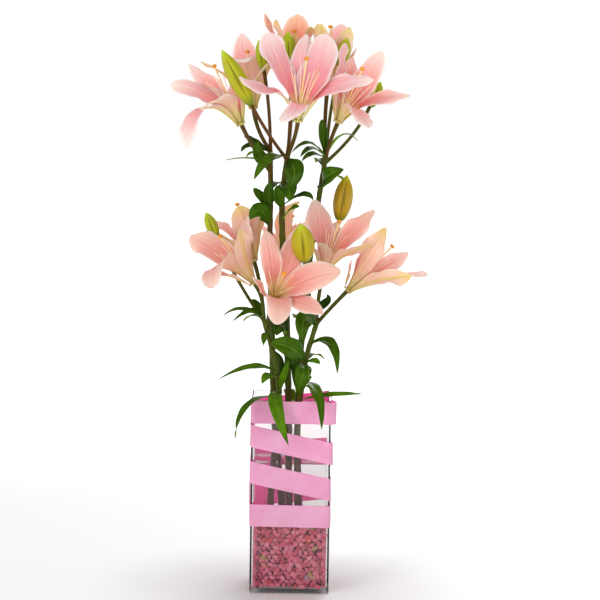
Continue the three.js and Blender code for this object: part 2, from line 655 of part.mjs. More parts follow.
// Leaves seen one by one: stem, height of the foot, the point the arch bends over, tip, width.
const LEAVES = [
  [3, 247, [-67, -91, 259], [-69, -80, 201], 13],
  [3, 250, [-29, -86, 264], [-3, -74, 194], 18, [0, -1, 0.5]],
  [4, 264, [38, -71, 278], [38, -76, 214], 15, [0.5, -1, 0.5]],
  [4, 242, [54, -38, 256], [90, -30, 253], 9, [0, -0.6, 1]],
  [3, 276, [-42, -40, 300], [-92, -36, 270], 11, [0, -0.5, 1]],
  [4, 313, [57, -37, 335], [57, -36, 279], 17, [0.6, -0.8, 0.6]],
  [4, 294, [-6, -57, 321], [-27, -50, 317], 26, [0, -1, 0.3]],
  [4, 338, [7, -57, 366], [14, -50, 318], 23, [0, -1, 0.1]],
  [3, 346, [-50, -17, 365], [-75, -20, 342], 11, [0, -0.5, 1]],
  [3, 346, [-66, 3, 365], [-88, -4, 347], 8, [0, -0.5, 1]],
  [3, 346, [-47, -4, 371], [-55, -14, 366], 9, [0, -0.7, 1]],
  [3, 327, [-35, -39, 331], [-36, -38, 313], 10],
  [3, 272, [-32, -53, 283], [-37, -50, 267], 13, [0, -0.7, 1]],
  [4, 288, [16, -71, 292], [7, -30, 246], 20, [0, -1, 0.2]],
  [4, 290, [29, -29, 297], [36, -26, 290], 10, [0, -0.8, 1]],
  [1, 326, [-15, -35, 349], [-20, -34, 326], 22, [0, -1, 0.3]],
  [2, 348, [53, 14, 364], [43, 16, 374], 11, [0, -1, 0.2]],
  [4, 278, [25, -59, 288], [21, -52, 270], 10, [1, -1, 0]],
  [1, 319, [-1, -32, 307], [3, -24, 278], 20, [0, -1, 0.2]],
  [0, 303, [-15, -13, 290], [-13, -4, 254], 16, [0, -1, 0.2]],
  [2, 294, [7, 26, 279], [6, 22, 250], 17, [0, -1, 0.2]],
  [3, 255, [-10, -35, 277], [-4, -32, 295], 9, [0, -1, 0.1]],
  [2, 253, [31, 41, 264], [34, 36, 203], 15],
  [1, 250, [-5, 39, 258], [6, 34, 199], 15],
  [0, 556, [-63, -7, 572], [-63, -8, 576], 12, [0, -0.8, 1]],
  [0, 554, [-62, 14, 570], [-68, 14, 554], 11, [0, -0.8, 1]],
  [0, 537, [-51, -25, 550], [-46, -18, 569], 16, [0, -1, 0.2]],
  [1, 549, [-35, -58, 558], [-50, -50, 522], 17, [-0.5, -1, 0.5]],
  [0, 541, [-59, 12, 550], [-87, 18, 543], 7],
  [0, 484, [-35, -21, 503], [-29, -16, 519], 15, [0, -1, 0.1]],
  [0, 486, [-47, -14, 503], [-51, -14, 510], 12, [0, -1, 0.5]],
  [0, 461, [-42, -16, 496], [-56, -18, 470], 22, [0, -1, 0.4]],
  [1, 545, [8, -45, 538], [-7, -36, 509], 25, [0, -1, 0.2]],
  [1, 515, [-6, -48, 518], [-6, -42, 496], 24, [0, -1, 0.5]],
  [1, 484, [-21, -22, 501], [-22, -18, 514], 13, [0, -1, 0.2]],
  [1, 487, [17, -30, 513], [24, -26, 496], 12, [0, -0.6, 1]],
  [1, 469, [-4, -29, 489], [7, -28, 488], 12, [0, -0.8, 1]],
  [2, 548, [18, -27, 582], [-4, -16, 555], 9, [0, -0.6, 1]],
  [2, 548, [20, -19, 571], [7, -24, 550], 11, [0, -0.6, 1]],
  [2, 547, [19, -9, 559], [9, -4, 544], 11, [0, -0.6, 1]],
  [2, 508, [34, -10, 527], [62, 0, 534], 25, [0, -1, 0.6]],
  [2, 548, [59, 9, 594], [79, 8, 570], 9],
  [2, 548, [33, 5, 591], [34, 9, 596], 11, [0, -1, 0.1]],
  [2, 447, [50, 37, 463], [55, 46, 445], 12],
];

// Leaves set round the stems by rule: stem, from and to height, count, middle direction,
// spread (degrees), length, width, seed.
const WHORLS = [
  [0, 300, 328, 2, 120, 60, 44, 14, 3],
  [2, 280, 330, 2, 75, 60, 44, 14, 7],
  [0, 506, 540, 2, 110, 70, 44, 14, 9],
  [2, 506, 534, 2, 75, 60, 44, 14, 13],
];

// The point of a stem's centre line at height z.
function stemAt(stem, z) {
  const curve = new THREE.CatmullRomCurve3(stem.path.map(vec));
  let low = 0;
  let high = 1;
  for (let i = 0; i < 24; i += 1) {
    const middle = (low + high) / 2;
    if (curve.getPoint(middle).z < z) low = middle;
    else high = middle;
  }
  return curve.getPoint(low);
}

function stemTube(stem, extra = 0) {
  const curve = new THREE.CatmullRomCurve3(stem.path.map(vec));
  const points = curve.getPoints(11);
  const radii = points.map((_, i) => lerp(stem.radius[0], stem.radius[1], i / 11) + extra);
  return tube(points, radii, STEM_SIDES);
}

// A flower stalk that ends just under the bloom or bud, in line with it.
function stalk(stem, from, base, axis, radius) {
  const start = stemAt(stem, from);
  const end = base.clone().addScaledVector(axis, -GAP);
  const reach = end.distanceTo(start);
  const over = end.clone().addScaledVector(axis, -0.45 * reach);
  const path = bend(start, over, end, 3);
  path.splice(3, 0, end.clone().addScaledVector(axis, -1.5));
  return tube(path, path.map((_, i) => radius * (i > 2 ? 1.15 : 1)), STALK_SIDES);
}

function leafOf([stem, z, over, tip, wide, face = [0, 0, 1], roll = 0, twist = 0]) {
  const from = stemAt(STEMS[stem], z);
  const [top, end] = [vec(over), vec(tip)];
  return { from, over: top, tip: end, wide, face: vec(face), roll, twist, phase: z * 0.1 };
}

// Leaves round a stem, spread to both sides of a middle direction.
function whorlLeaves([stem, low, high, count, toward, spread, length, wide, seed]) {
  const draw = makeDraw(seed * 977);
  const leaves = [];
  for (let i = 0; i < count; i += 1) {
    const z = lerp(low, high, i / (count - 1));
    const share = (i % 2) - 0.5;
    const turn = rad(toward + spread * (share + 0.2 * (draw() - 0.5)));
    const reach = length * (0.85 + 0.3 * draw());
    const rise = reach * (0.35 + 0.3 * draw());
    const foot = stemAt(STEMS[stem], z);
    const out = v3(Math.cos(turn), Math.sin(turn), 0);
    const over = foot.clone().addScaledVector(out, reach * 0.5).add(v3(0, 0, rise));
    const tip = foot.clone().addScaledVector(out, reach * 0.9).add(v3(0, 0, rise * 0.3));
    leaves.push([stem, z, over.toArray(), tip.toArray(), wide * (0.85 + 0.3 * draw())]);
  }
  return leaves;
}

// Every node's name, colour and loose solids, joined further down.
const nodes = [];

function addNode(name, colour, solids) {
  nodes.push({ name, colour, solids });
}

function makeStem(stem, index) {
  const solids = [stemTube(stem)];
  for (const bloom of BLOOMS.filter((b) => b.stem === index)) {
    const axis = vec(bloom.axis).normalize();
    solids.push(stalk(stem, bloom.from, vec(bloom.base), axis, STALK_R));
  }
  for (const bud of BUDS.filter((b) => b.stem === index)) {
    const axis = vec(bud.tip).sub(vec(bud.base)).normalize();
    solids.push(stalk(stem, bud.from, vec(bud.base), axis, STALK_R * 0.85));
  }
  const rows = [...LEAVES, ...WHORLS.flatMap(whorlLeaves)].filter((row) => row[0] === index);
  return [...solids, ...rows.map((row) => makeLeaf(leafOf(row)))];
}

const holes = join(STEMS.map((stem) => stemTube(stem, HOLE_GAP)));
addNode("vase", COLOURS.glass, [makeVase()]);
addNode("gravel", COLOURS.gravel, [makeGravel(holes)]);
addNode("water", COLOURS.water, [makeWater(holes)]);
addNode("ribbon", COLOURS.ribbon, [makeRibbon()]);
STEMS.forEach((stem, i) => addNode(stem.name, COLOURS.stem, makeStem(stem, i)));
BLOOMS.forEach((bloom, i) => {
  const number = String(i + 1).padStart(2, "0");
  addNode(`bloom_${number}`, COLOURS[bloom.colour], makeBloom(bloom));
  addNode(`stamens_${number}`, COLOURS.filament, makeStamens(bloom));
});
BUDS.forEach((bud, i) => addNode(`bud_${i + 1}`, COLOURS.bud, [makeBud(bud)]));

// A drawn mesh from a joined body.
function meshOf({ name, colour, solids }) {
  const { vertProperties, triVerts, numProp } = join(solids).getMesh();
  const geometry = new THREE.BufferGeometry();
  const count = vertProperties.length / numProp;
  const position = new Float32Array(count * 3);
  for (let i = 0; i < count; i += 1) {
    for (let k = 0; k < 3; k += 1) position[3 * i + k] = vertProperties[numProp * i + k];
  }
  geometry.setAttribute("position", new THREE.BufferAttribute(position, 3));
  geometry.setIndex(Array.from(triVerts));
  geometry.computeVertexNormals();
  const mesh = new THREE.Mesh(geometry, new THREE.MeshStandardMaterial({ color: colour }));
  mesh.name = name;
  return mesh;
}

const group = new THREE.Group();
group.name = "lily_vase";
for (const node of nodes) group.add(meshOf(node));

export default group;
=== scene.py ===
"""Looks of a bunch of pink asiatic lilies in a square glass vase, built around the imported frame.

Lengths in the tables and in the build methods are millimetres, as in the part's source.
Meshes are made in metres, with the origin at the centre of the vase's foot and +Z up.
"""

import logging
import math
from dataclasses import dataclass, field
from enum import Enum
from typing import Sequence

import bpy
import numpy as np
from mathutils import Matrix


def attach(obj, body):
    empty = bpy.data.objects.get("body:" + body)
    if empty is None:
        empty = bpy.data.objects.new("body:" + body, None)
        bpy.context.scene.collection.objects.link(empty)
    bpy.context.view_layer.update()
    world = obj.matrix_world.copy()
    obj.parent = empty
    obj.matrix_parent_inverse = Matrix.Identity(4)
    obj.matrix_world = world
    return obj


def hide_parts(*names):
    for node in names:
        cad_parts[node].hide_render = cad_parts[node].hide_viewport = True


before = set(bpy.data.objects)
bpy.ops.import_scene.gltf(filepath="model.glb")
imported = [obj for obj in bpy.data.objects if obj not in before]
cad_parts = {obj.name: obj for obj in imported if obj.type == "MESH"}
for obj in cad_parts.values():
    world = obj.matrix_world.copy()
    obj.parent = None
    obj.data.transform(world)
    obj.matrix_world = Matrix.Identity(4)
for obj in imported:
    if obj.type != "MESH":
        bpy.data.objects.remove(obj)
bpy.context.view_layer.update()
LOG = logging.getLogger("lily_vase")
MM = 0.001

Array = np.ndarray
Colour = tuple[float, float, float]
Stops = tuple[tuple[float, Colour], ...]
Finishes = dict[str, bpy.types.Material]
Socket = bpy.types.NodeSocket

# Sizes that more than one piece goes by.
VASE_WIDTH = 100.0
VASE_CORNER = 5.0
INNER_HALF = 46.7
INNER_CORNER = 2.7
WATER_TOP = 165.0

UP = np.array([0.0, 0.0, 1.0])
FRONT = np.array([0.0, -1.0, 0.0])
WHITE = (1.0, 1.0, 1.0, 1.0)


# ---- Small sums -------------------------------------------------------------------------------


def clamp01(t: Array) -> Array:
    """Values held between 0 and 1."""
    return np.clip(t, 0.0, 1.0)


def smooth(t: Array) -> Array:
    """The smooth step 3t^2 - 2t^3 of values held between 0 and 1."""
    t = clamp01(np.asarray(t, dtype=float))
    return t * t * (3 - 2 * t)


def unit(v: Array) -> Array:
    """Vectors of length one along the last axis."""
    v = np.asarray(v, dtype=float)
    return v / np.maximum(np.linalg.norm(v, axis=-1, keepdims=True), 1e-12)


def srgb(red: float, green: float, blue: float) -> Colour:
    """A screen colour of 0 to 255 as linear light of 0 to 1.

    Args:
        red: 0 to 255.
        green: 0 to 255.
        blue: 0 to 255.

    Returns:
        The linear colour.
    """
    c = np.array([red, green, blue], dtype=float) / 255
    low, high = c / 12.92, ((c + 0.055) / 1.055) ** 2.4
    return tuple(float(x) for x in np.where(c <= 0.04045, low, high))


class Draw:
    """The small repeatable random number source of the part's source."""

    STEP = 16807
    SPAN = 2147483647

    def __init__(self, seed: int) -> None:
        """Starts from a whole number."""
        self.state = seed

    def __call__(self) -> float:
        """The next number between 0 and 1."""
        self.state = (self.state * self.STEP) % self.SPAN
        return self.state / self.SPAN


def around(count: int) -> Array:
    """Evenly spaced angles of a full turn."""
    return 2 * np.pi * np.arange(count) / count


def pairs(across: Array, along: Array) -> Array:
    """UV pairs of a grid from its places across and along."""
    return np.stack(np.broadcast_arrays(across, along), axis=-1)


def tints(uv: Array, *parts: Array | float) -> Array:
    """The four tint numbers at each point of a grid of UV pairs."""
    return np.stack([np.broadcast_to(part, uv.shape[:2]) for part in parts], axis=-1)


def bezier(a: Array, b: Array, c: Array, t: Array) -> Array:
    """Points of a quadratic curve from a past b to c at each t."""
    t = np.asarray(t, dtype=float)[..., None]
    return (1 - t) ** 2 * np.asarray(a) + 2 * t * (1 - t) * np.asarray(b) + t * t * np.asarray(c)


def spline(points: Sequence[Sequence[float]], t: Array) -> Array:
    """Points of a centripetal Catmull-Rom curve through given points, at each t from 0 to 1.

    Each span is a cubic whose end slopes come from the neighbouring points, with knots spaced by
    the square root of the distance between points. The ends mirror their neighbours.

    Args:
        points: the given points.
        t: places along, 0 to 1.

    Returns:
        A point for each t.
    """
    p = np.asarray(points, dtype=float)
    p = np.vstack([2 * p[0] - p[1], p, 2 * p[-1] - p[-2]])
    spans = len(p) - 3
    place = np.clip(np.asarray(t, dtype=float) * spans, 0, spans - 1e-9)
    k = place.astype(int)
    w = (place - k)[:, None]
    p0, p1, p2, p3 = p[k], p[k + 1], p[k + 2], p[k + 3]
    gaps = (p1 - p0, p2 - p1, p3 - p2)
    d0, d1, d2 = (np.linalg.norm(gap, axis=1, keepdims=True) ** 0.5 for gap in gaps)
    m1 = ((p1 - p0) / d0 - (p2 - p0) / (d0 + d1) + (p2 - p1) / d1) * d1
    m2 = ((p2 - p1) / d1 - (p3 - p1) / (d1 + d2) + (p3 - p2) / d2) * d1
    cubic, square = 2 * p1 - 2 * p2 + m1 + m2, -3 * p1 + 3 * p2 - 2 * m1 - m2
    return cubic * w**3 + square * w**2 + m1 * w + p1


# ---- Meshes -----------------------------------------------------------------------------------


class Shells:
    """Closed surfaces gathered for one mesh, with a UV pair and four tint numbers at each point."""

    def __init__(self) -> None:
        """Starts with nothing in it."""
        self.points: list[Array] = []
        self.uv: list[Array] = []
        self.tint: list[Array] = []
        self.faces: dict[int, list[Array]] = {}
        self.slots: dict[int, list[Array]] = {}
        self.count = 0

    def add(
        self, points: Array, faces: Sequence[Array], uv: Array, tint: Array, slot: int = 0
    ) -> None:
        """Adds one closed surface and turns its faces outward, by the sign of its volume.

        Args:
            points: the places, one row each.
            faces: arrays of corner numbers, each array with one count of corners.
            uv: a pair for each point.
            tint: four numbers for each point, or once for all.
            slot: the material's place in the piece's list.
        """
        volume = 0.0
        for rows in faces:
            for k in range(1, rows.shape[1] - 1):
                a, b, c = points[rows[:, 0]], points[rows[:, k]], points[rows[:, k + 1]]
                volume += float(np.einsum("ij,ij->", a, np.cross(b, c)))
        for rows in faces:
            rows = rows if volume > 0 else rows[:, ::-1]
            sides = rows.shape[1]
            self.faces.setdefault(sides, []).append(rows + self.count)
            self.slots.setdefault(sides, []).append(np.full(len(rows), slot))
        self.points.append(points)
        self.uv.append(uv)
        self.tint.append(np.broadcast_to(tint, (len(points), 4)))
        self.count += len(points)

    def tube(
        self, grid: Array, uv: Array, tint: Array, slot: int = 0, round_ends: bool = False
    ) -> None:
        """Adds rings of points, closed at both ends by a flat face or a fan round a middle point.

        Args:
            grid: rings of points, as rings by points by three.
            uv: a pair for each point of each ring.
            tint: four numbers for each point of each ring, or once for all.
            slot: the material's place in the piece's list.
            round_ends: True for a fan at each end, False for one face across the ring.
        """
        rings, around = grid.shape[:2]
        ids = np.arange(rings * around).reshape(rings, around)
        right = np.roll(ids, -1, axis=1)
        sides = np.stack([ids[:-1], right[:-1], right[1:], ids[1:]], axis=-1).reshape(-1, 4)
        points = grid.reshape(-1, 3)
        uv = np.broadcast_to(uv, (rings, around, 2)).reshape(-1, 2)
        tint = np.broadcast_to(tint, (rings, around, 4)).reshape(-1, 4)
        if round_ends:
            ends = []
            for ring, flip in ((0, True), (rings - 1, False)):
                centre = len(points)
                points = np.vstack([points, grid[ring].mean(axis=0)])
                uv = np.vstack([uv, uv[ids[ring]].mean(axis=0)])
                tint = np.vstack([tint, tint[ids[ring, 0]]])
                a, b = (right, ids) if flip else (ids, right)
                ends.append(np.stack([a[ring], b[ring], np.full(around, centre)], axis=-1))
            self.add(points, [sides, np.vstack(ends)], uv, tint, slot)
            return
        caps = np.stack([ids[0, ::-1], ids[-1]])
        self.add(points, [sides, caps], uv, tint, slot)

    def piece(self, name: str, smooth_angle: float | None = None) -> bpy.types.Object:
        """Makes the mesh object, in metres.

        Args:
            name: the object's name.
            smooth_angle: edges sharper than this many degrees stay sharp.

        Returns:
            The linked object, at the origin.
        """
        mesh = bpy.data.meshes.new(name)
        points = np.vstack(self.points) * MM
        mesh.vertices.add(len(points))
        mesh.vertices.foreach_set("co", points.astype(np.float32).ravel())
        blocks = [np.vstack(rows) for rows in self.faces.values()]
        corners = np.concatenate([rows.ravel() for rows in blocks])
        sizes = np.concatenate([np.full(len(rows), rows.shape[1]) for rows in blocks])
        mesh.loops.add(len(corners))
        mesh.loops.foreach_set("vertex_index", corners.astype(np.int32))
        mesh.polygons.add(len(sizes))
        starts = np.concatenate([[0], np.cumsum(sizes)[:-1]])
        mesh.polygons.foreach_set("loop_start", starts.astype(np.int32))
        slots = np.concatenate([np.concatenate(rows) for rows in self.slots.values()])
        mesh.polygons.foreach_set("material_index", slots.astype(np.int32))
        mesh.update(calc_edges=True)
        mesh.validate()
        layer = mesh.uv_layers.new(name="UVMap")
        layer.data.foreach_set("uv", np.vstack(self.uv)[corners].astype(np.float32).ravel())
        tint = mesh.attributes.new("tint", "FLOAT_COLOR", "POINT")
        tint.data.foreach_set("color", np.vstack(self.tint).astype(np.float32).ravel())
        mesh.polygons.foreach_set("use_smooth", np.full(len(sizes), True))
        if smooth_angle is not None:
            mesh.set_sharp_from_angle(angle=math.radians(smooth_angle))
        made = bpy.data.objects.new(name, mesh)
        bpy.context.scene.collection.objects.link(made)
        LOG.info("%s: %d points, %d faces", name, len(points), len(sizes))
        return made


def rings_along(path: Array, radii: Array, sides: int) -> Array:
    """Rings of a round tube along points.

    Each ring stands square to the path. Its first direction is the one before it, made square to
    the path again, so that the tube doesn't twist.

    Args:
        path: the middle line.
        radii: a radius at each point, or for each point and side.
        sides: points in a ring.

    Returns:
        Rings by sides by three.
    """
    along = unit(np.gradient(path, axis=0))
    across = np.zeros_like(path)
    start = UP if abs(along[0, 2]) < 0.9 else np.array([1.0, 0, 0])
    for i, way in enumerate(along):
        start = unit(start - way * (start @ way))
        across[i] = start
    other = np.cross(along, across)
    turn = around(sides)
    radii = np.broadcast_to(np.asarray(radii, dtype=float).reshape(len(path), -1), (len(path), sides))
    ring = across[:, None] * np.cos(turn)[:, None] + other[:, None] * np.sin(turn)[:, None]
    return path[:, None] + radii[..., None] * ring


def blade_grid(middle: Array, normal: Array, v: Array, thick: Array) -> tuple[Array, Array]:
    """The closed rings of a blade: its upper face from left to right and its lower face back.

    Args:
        middle: points of the middle surface, as rows by across by three.
        normal: the direction of the upper face at each point.
        v: the place across, from -1 to 1.
        thick: thickness at each point.

    Returns:
        The rings, and for each ring point the place across from 0 to 1 and 1 on the upper face.
    """
    up = middle + 0.5 * thick[..., None] * normal
    down = middle - 0.5 * thick[..., None] * normal
    grid = np.concatenate([up, down[:, ::-1]], axis=1)
    across = np.concatenate([v, v[::-1]]) * 0.5 + 0.5
    side = np.concatenate([np.ones(len(v)), np.zeros(len(v))])
    return grid, np.stack([across, side], axis=-1)


def surface_normals(middle: Array, like: Array) -> Array:
    """Normals of a grid of points, turned to the side of the given directions.

    Args:
        middle: points, as rows by across by three.
        like: the side to turn them to.

    Returns:
        A unit normal for each point.
    """
    n = unit(np.cross(np.gradient(middle, axis=1), np.gradient(middle, axis=0)))
    sign = np.sign(np.einsum("ijk,ijk->ij", n, np.broadcast_to(like, middle.shape)))
    return n * np.where(sign == 0, 1, sign)[..., None]


# ---- Shader nodes -----------------------------------------------------------------------------


class Nodes:
    """Short-hand for adding and linking the nodes of one tree."""

    def __init__(self, tree: bpy.types.NodeTree) -> None:
        """Works on one node tree."""
        self.tree = tree

    def put(self, socket: Socket, value: object) -> None:
        """Links an output to a socket, or sets its value.

        Args:
            socket: an input.
            value: an output to link, or a plain value.
        """
        if isinstance(value, Socket):
            self.tree.links.new(value, socket)
        elif socket.type == "RGBA":
            socket.default_value = (*value[:3], 1.0)
        else:
            socket.default_value = value

    def add(self, kind: str, inputs: dict | None = None, **settings: object) -> bpy.types.Node:
        """Adds a node.

        Args:
            kind: the node's type without "ShaderNode".
            inputs: values or outputs for its sockets, by name or number.
            **settings: its own properties.

        Returns:
            The node.
        """
        node = self.tree.nodes.new("ShaderNode" + kind)
        for key, value in settings.items():
            setattr(node, key, value)
        for key, value in (inputs or {}).items():
            self.put(node.inputs[key], value)
        return node

    def math(self, operation: str, a: object, b: object = 0.0, clamp: bool = False) -> Socket:
        """One sum of two numbers."""
        return self.add("Math", {0: a, 1: b}, operation=operation, use_clamp=clamp).outputs[0]

    def linear(self, value: object, factor: object, offset: object) -> Socket:
        """A number times a factor, plus an offset."""
        return self.add("Math", {0: value, 1: factor, 2: offset}, operation="MULTIPLY_ADD").outputs[0]

    def step(self, value: object, low: float, high: float) -> Socket:
        """A smooth step from 0 at low to 1 at high."""
        inputs = {"Value": value, "From Min": low, "From Max": high}
        return self.add("MapRange", inputs, interpolation_type="SMOOTHSTEP").outputs[0]

    def mix(self, share: object, a: object, b: object, blend: str = "MIX") -> Socket:
        """A mix of two colours, from a at 0 to b at 1."""
        return self.add("Mix", {0: share, 6: a, 7: b}, data_type="RGBA", blend_type=blend).outputs[2]

    def ramp(self, value: object, stops: Stops, hard: bool = False) -> Socket:
        """Colours by a number, each from its own place on.

        Args:
            value: the number.
            stops: each place and its colour.
            hard: True for steps without a blend.

        Returns:
            The colour output.
        """
        node = self.add("ValToRGB", {0: value})
        bar = node.color_ramp
        bar.interpolation = "CONSTANT" if hard else "LINEAR"
        bar.elements.remove(bar.elements[1])
        bar.elements[0].position = stops[0][0]
        bar.elements[0].color = (*stops[0][1], 1.0)
        for place, colour in stops[1:]:
            bar.elements.new(place).color = (*colour, 1.0)
        return node.outputs[0]

    def noise(self, vector: object, scale: float, detail: float = 2.0) -> Socket:
        """Cloudy noise from 0 to 1."""
        return self.add("TexNoise", {"Vector": vector, "Scale": scale, "Detail": detail}).outputs[0]

    def group(self, tree: bpy.types.NodeTree, inputs: dict) -> bpy.types.Node:
        """Places a shared group with its own values.

        Args:
            tree: the shared group.
            inputs: values or outputs by socket name.

        Returns:
            The group node.
        """
        node = self.tree.nodes.new("ShaderNodeGroup")
        node.node_tree = tree
        for key, value in inputs.items():
            self.put(node.inputs[key], value)
        return node


def new_group(
    name: str, inputs: dict[str, str], outputs: dict[str, str]
) -> tuple[Nodes, dict, dict]:
    """Starts a shared node group.

    Args:
        name: its name.
        inputs: socket names and kinds, such as "Float", "Vector" or "Color".
        outputs: the same for what it puts out.

    Returns:
        Its nodes, the sockets that bring the inputs, and those that take the outputs.
    """
    tree = bpy.data.node_groups.new(name, "ShaderNodeTree")
    for way, sockets in (("INPUT", inputs), ("OUTPUT", outputs)):
        for key, kind in sockets.items():
            tree.interface.new_socket(name=key, in_out=way, socket_type="NodeSocket" + kind)
    start = tree.nodes.new("NodeGroupInput")
    end = tree.nodes.new("NodeGroupOutput")
    return Nodes(tree), {k: start.outputs[k] for k in inputs}, {k: end.inputs[k] for k in outputs}


def streaks_group() -> bpy.types.NodeTree:
    """Lengthwise veins of petals, leaves and buds: noise drawn out along the piece's own UV map.

    Returns:
        The group, which puts out fine and broad veins.
    """
    nodes, given, out = new_group(
        "veins_along", {"Across": "Float", "Along": "Float", "Seed": "Float", "Count": "Float"},
        {"Fine": "Float", "Broad": "Float"},
    )
    for key, share in (("Fine", 1.0), ("Broad", 0.28)):
        x = nodes.math("MULTIPLY", nodes.math("MULTIPLY", given["Across"], given["Count"]), share)
        y = nodes.math("MULTIPLY", given["Along"], 1.7)
        z = nodes.math("MULTIPLY", given["Seed"], 37.0)
        place = nodes.add("CombineXYZ", {0: x, 1: y, 2: z}).outputs[0]
        nodes.put(out[key], nodes.noise(place, 1.0, 1.5))
    return nodes.tree


def mottle_group() -> bpy.types.NodeTree:
    """Soft patches of light and dark on a colour, from the place in the object.

    Returns:
        The group, which puts out the mottled colour and its mask.
    """
    nodes, given, out = new_group(
        "mottled", {"Color": "Color", "Dark": "Color", "Scale": "Float", "Amount": "Float"},
        {"Color": "Color", "Value": "Float"},
    )
    place = nodes.add("TexCoord").outputs["Object"]
    scaled = nodes.add("VectorMath", {0: place, 3: given["Scale"]}, operation="SCALE").outputs[0]
    cloud = nodes.step(nodes.noise(scaled, 1.0, 3.0), 0.3, 0.7)
    share = nodes.math("MULTIPLY", cloud, given["Amount"])
    nodes.put(out["Color"], nodes.mix(share, given["Color"], given["Dark"]))
    nodes.put(out["Value"], cloud)
    return nodes.tree


class Shared:
    """The node groups that more than one finish uses, each made once."""

    def __init__(self) -> None:
        """Makes the groups."""
        self.veins = streaks_group()
        self.mottle = mottle_group()


def new_material(name: str) -> tuple[bpy.types.Material, Nodes, bpy.types.Node, bpy.types.Node]:
    """Starts a material: itself, its nodes, its Principled shader and its output.

    Args:
        name: its name.

    Returns:
        The four of them.
    """
    made = bpy.data.materials.new(name)
    made.use_nodes = True
    made.node_tree.nodes.clear()
    nodes = Nodes(made.node_tree)
    shader = nodes.add("BsdfPrincipled")
    output = nodes.add("OutputMaterial", {"Surface": shader.outputs[0]})
    return made, nodes, shader, output


def set_sockets(shader: bpy.types.Node, values: dict[str, object]) -> None:
    """Sets plain values straight on a shader's sockets."""
    for key, value in values.items():
        shader.inputs[key].default_value = value


def surface_places(nodes: Nodes) -> tuple[Socket, ...]:
    """Across and along from the UV map, and how far from the middle, 0 to 1.

    Args:
        nodes: the tree that they are added to.

    Returns:
        Across, along, and distance from the middle.
    """
    uv = nodes.add("TexCoord").outputs["UV"]
    split = nodes.add("SeparateXYZ", {0: uv})
    across, along = split.outputs[0], split.outputs[1]
    return across, along, nodes.math("ABSOLUTE", nodes.linear(across, 2.0, -1.0))


def tint_parts(nodes: Nodes) -> tuple[Socket, ...]:
    """The four tint numbers of a point.

    Args:
        nodes: the tree that they are added to.

    Returns:
        One output for each number.
    """
    tint = nodes.add("Attribute", attribute_name="tint")
    split = nodes.add("SeparateColor", {0: tint.outputs["Color"]})
    return (*split.outputs, tint.outputs["Alpha"])


def bump(nodes: Nodes, height: object, distance: float, strength: float = 1.0) -> Socket:
    """A bumped normal from a height of 0 to 1, at a distance in metres."""
    return nodes.add("Bump", {"Height": height, "Distance": distance, "Strength": strength}).outputs[0]


@dataclass(frozen=True)
class PetalFinish:
    """Satin petals: yellow-green throat, deeper pink below the middle, pale tips and edges.

    The upper face takes its colours along the tepal. The lower face is creamier, with a
    yellow-green band along the midrib, faint on the inner ones. A bloom's own warm tint turns
    both faces toward peach.
    """

    name: str
    along: Stops
    edge: Colour
    vein: Colour
    back: Stops
    band: Colour = srgb(206, 196, 104)
    midrib: Colour = srgb(238, 214, 150)
    peach: Colour = srgb(234, 172, 138)
    peach_share: float = 0.42

    def material(self, shared: Shared) -> bpy.types.Material:
        """Makes the material.

        Args:
            shared: the shared node groups.

        Returns:
            The material.
        """
        made, nodes, shader, _ = new_material(self.name)
        across, along, off = surface_places(nodes)
        upper, inner, seed, warm = tint_parts(nodes)
        veins = nodes.group(shared.veins, {"Across": across, "Along": along, "Seed": seed, "Count": 46.0})
        fine, broad = veins.outputs["Fine"], veins.outputs["Broad"]
        place = nodes.linear(warm, -0.07, nodes.linear(nodes.math("SUBTRACT", broad, 0.5), 0.22, along))
        past = nodes.step(along, 0.16, 0.42)
        deep = nodes.math("MULTIPLY", nodes.math("MULTIPLY", seed, 0.35), past)
        top = nodes.mix(deep, nodes.ramp(place, self.along), self.vein)
        edge = nodes.math("MULTIPLY", nodes.step(off, 0.68, 1.0), 0.62)
        top = nodes.mix(edge, top, self.edge)
        lines = nodes.math("MULTIPLY", nodes.step(fine, 0.5, 0.72), nodes.linear(past, 0.18, 0.05))
        top = nodes.mix(lines, top, self.vein)
        rib = nodes.math("SUBTRACT", 1.0, nodes.step(off, 0.015, 0.07))
        fade = nodes.math("SUBTRACT", 0.75, nodes.step(along, 0.35, 0.95))
        rib = nodes.math("MULTIPLY", rib, fade, clamp=True)
        top = nodes.mix(rib, top, self.midrib)
        under = nodes.ramp(along, self.back)
        wide = nodes.math("SUBTRACT", 1.0, nodes.step(nodes.linear(fine, 0.14, off), 0.1, 0.42))
        share = nodes.linear(inner, -0.72, 0.9)
        under = nodes.mix(nodes.math("MULTIPLY", wide, share), under, self.band)
        under = nodes.mix(nodes.math("MULTIPLY", lines, 0.6), under, self.vein)
        colour = nodes.mix(upper, under, top)
        colour = nodes.mix(nodes.math("MULTIPLY", warm, self.peach_share), colour, self.peach)
        nodes.put(shader.inputs["Base Color"], colour)
        set_sockets(shader, {
            "Roughness": 0.5, "Specular IOR Level": 0.25, "Subsurface Weight": 0.6,
            "Subsurface Radius": (1.0, 0.6, 0.5), "Subsurface Scale": 0.003, "Sheen Weight": 0.12,
        })
        nodes.put(shader.inputs["Normal"], bump(nodes, nodes.math("ADD", fine, broad), 0.00022, 0.8))
        return made


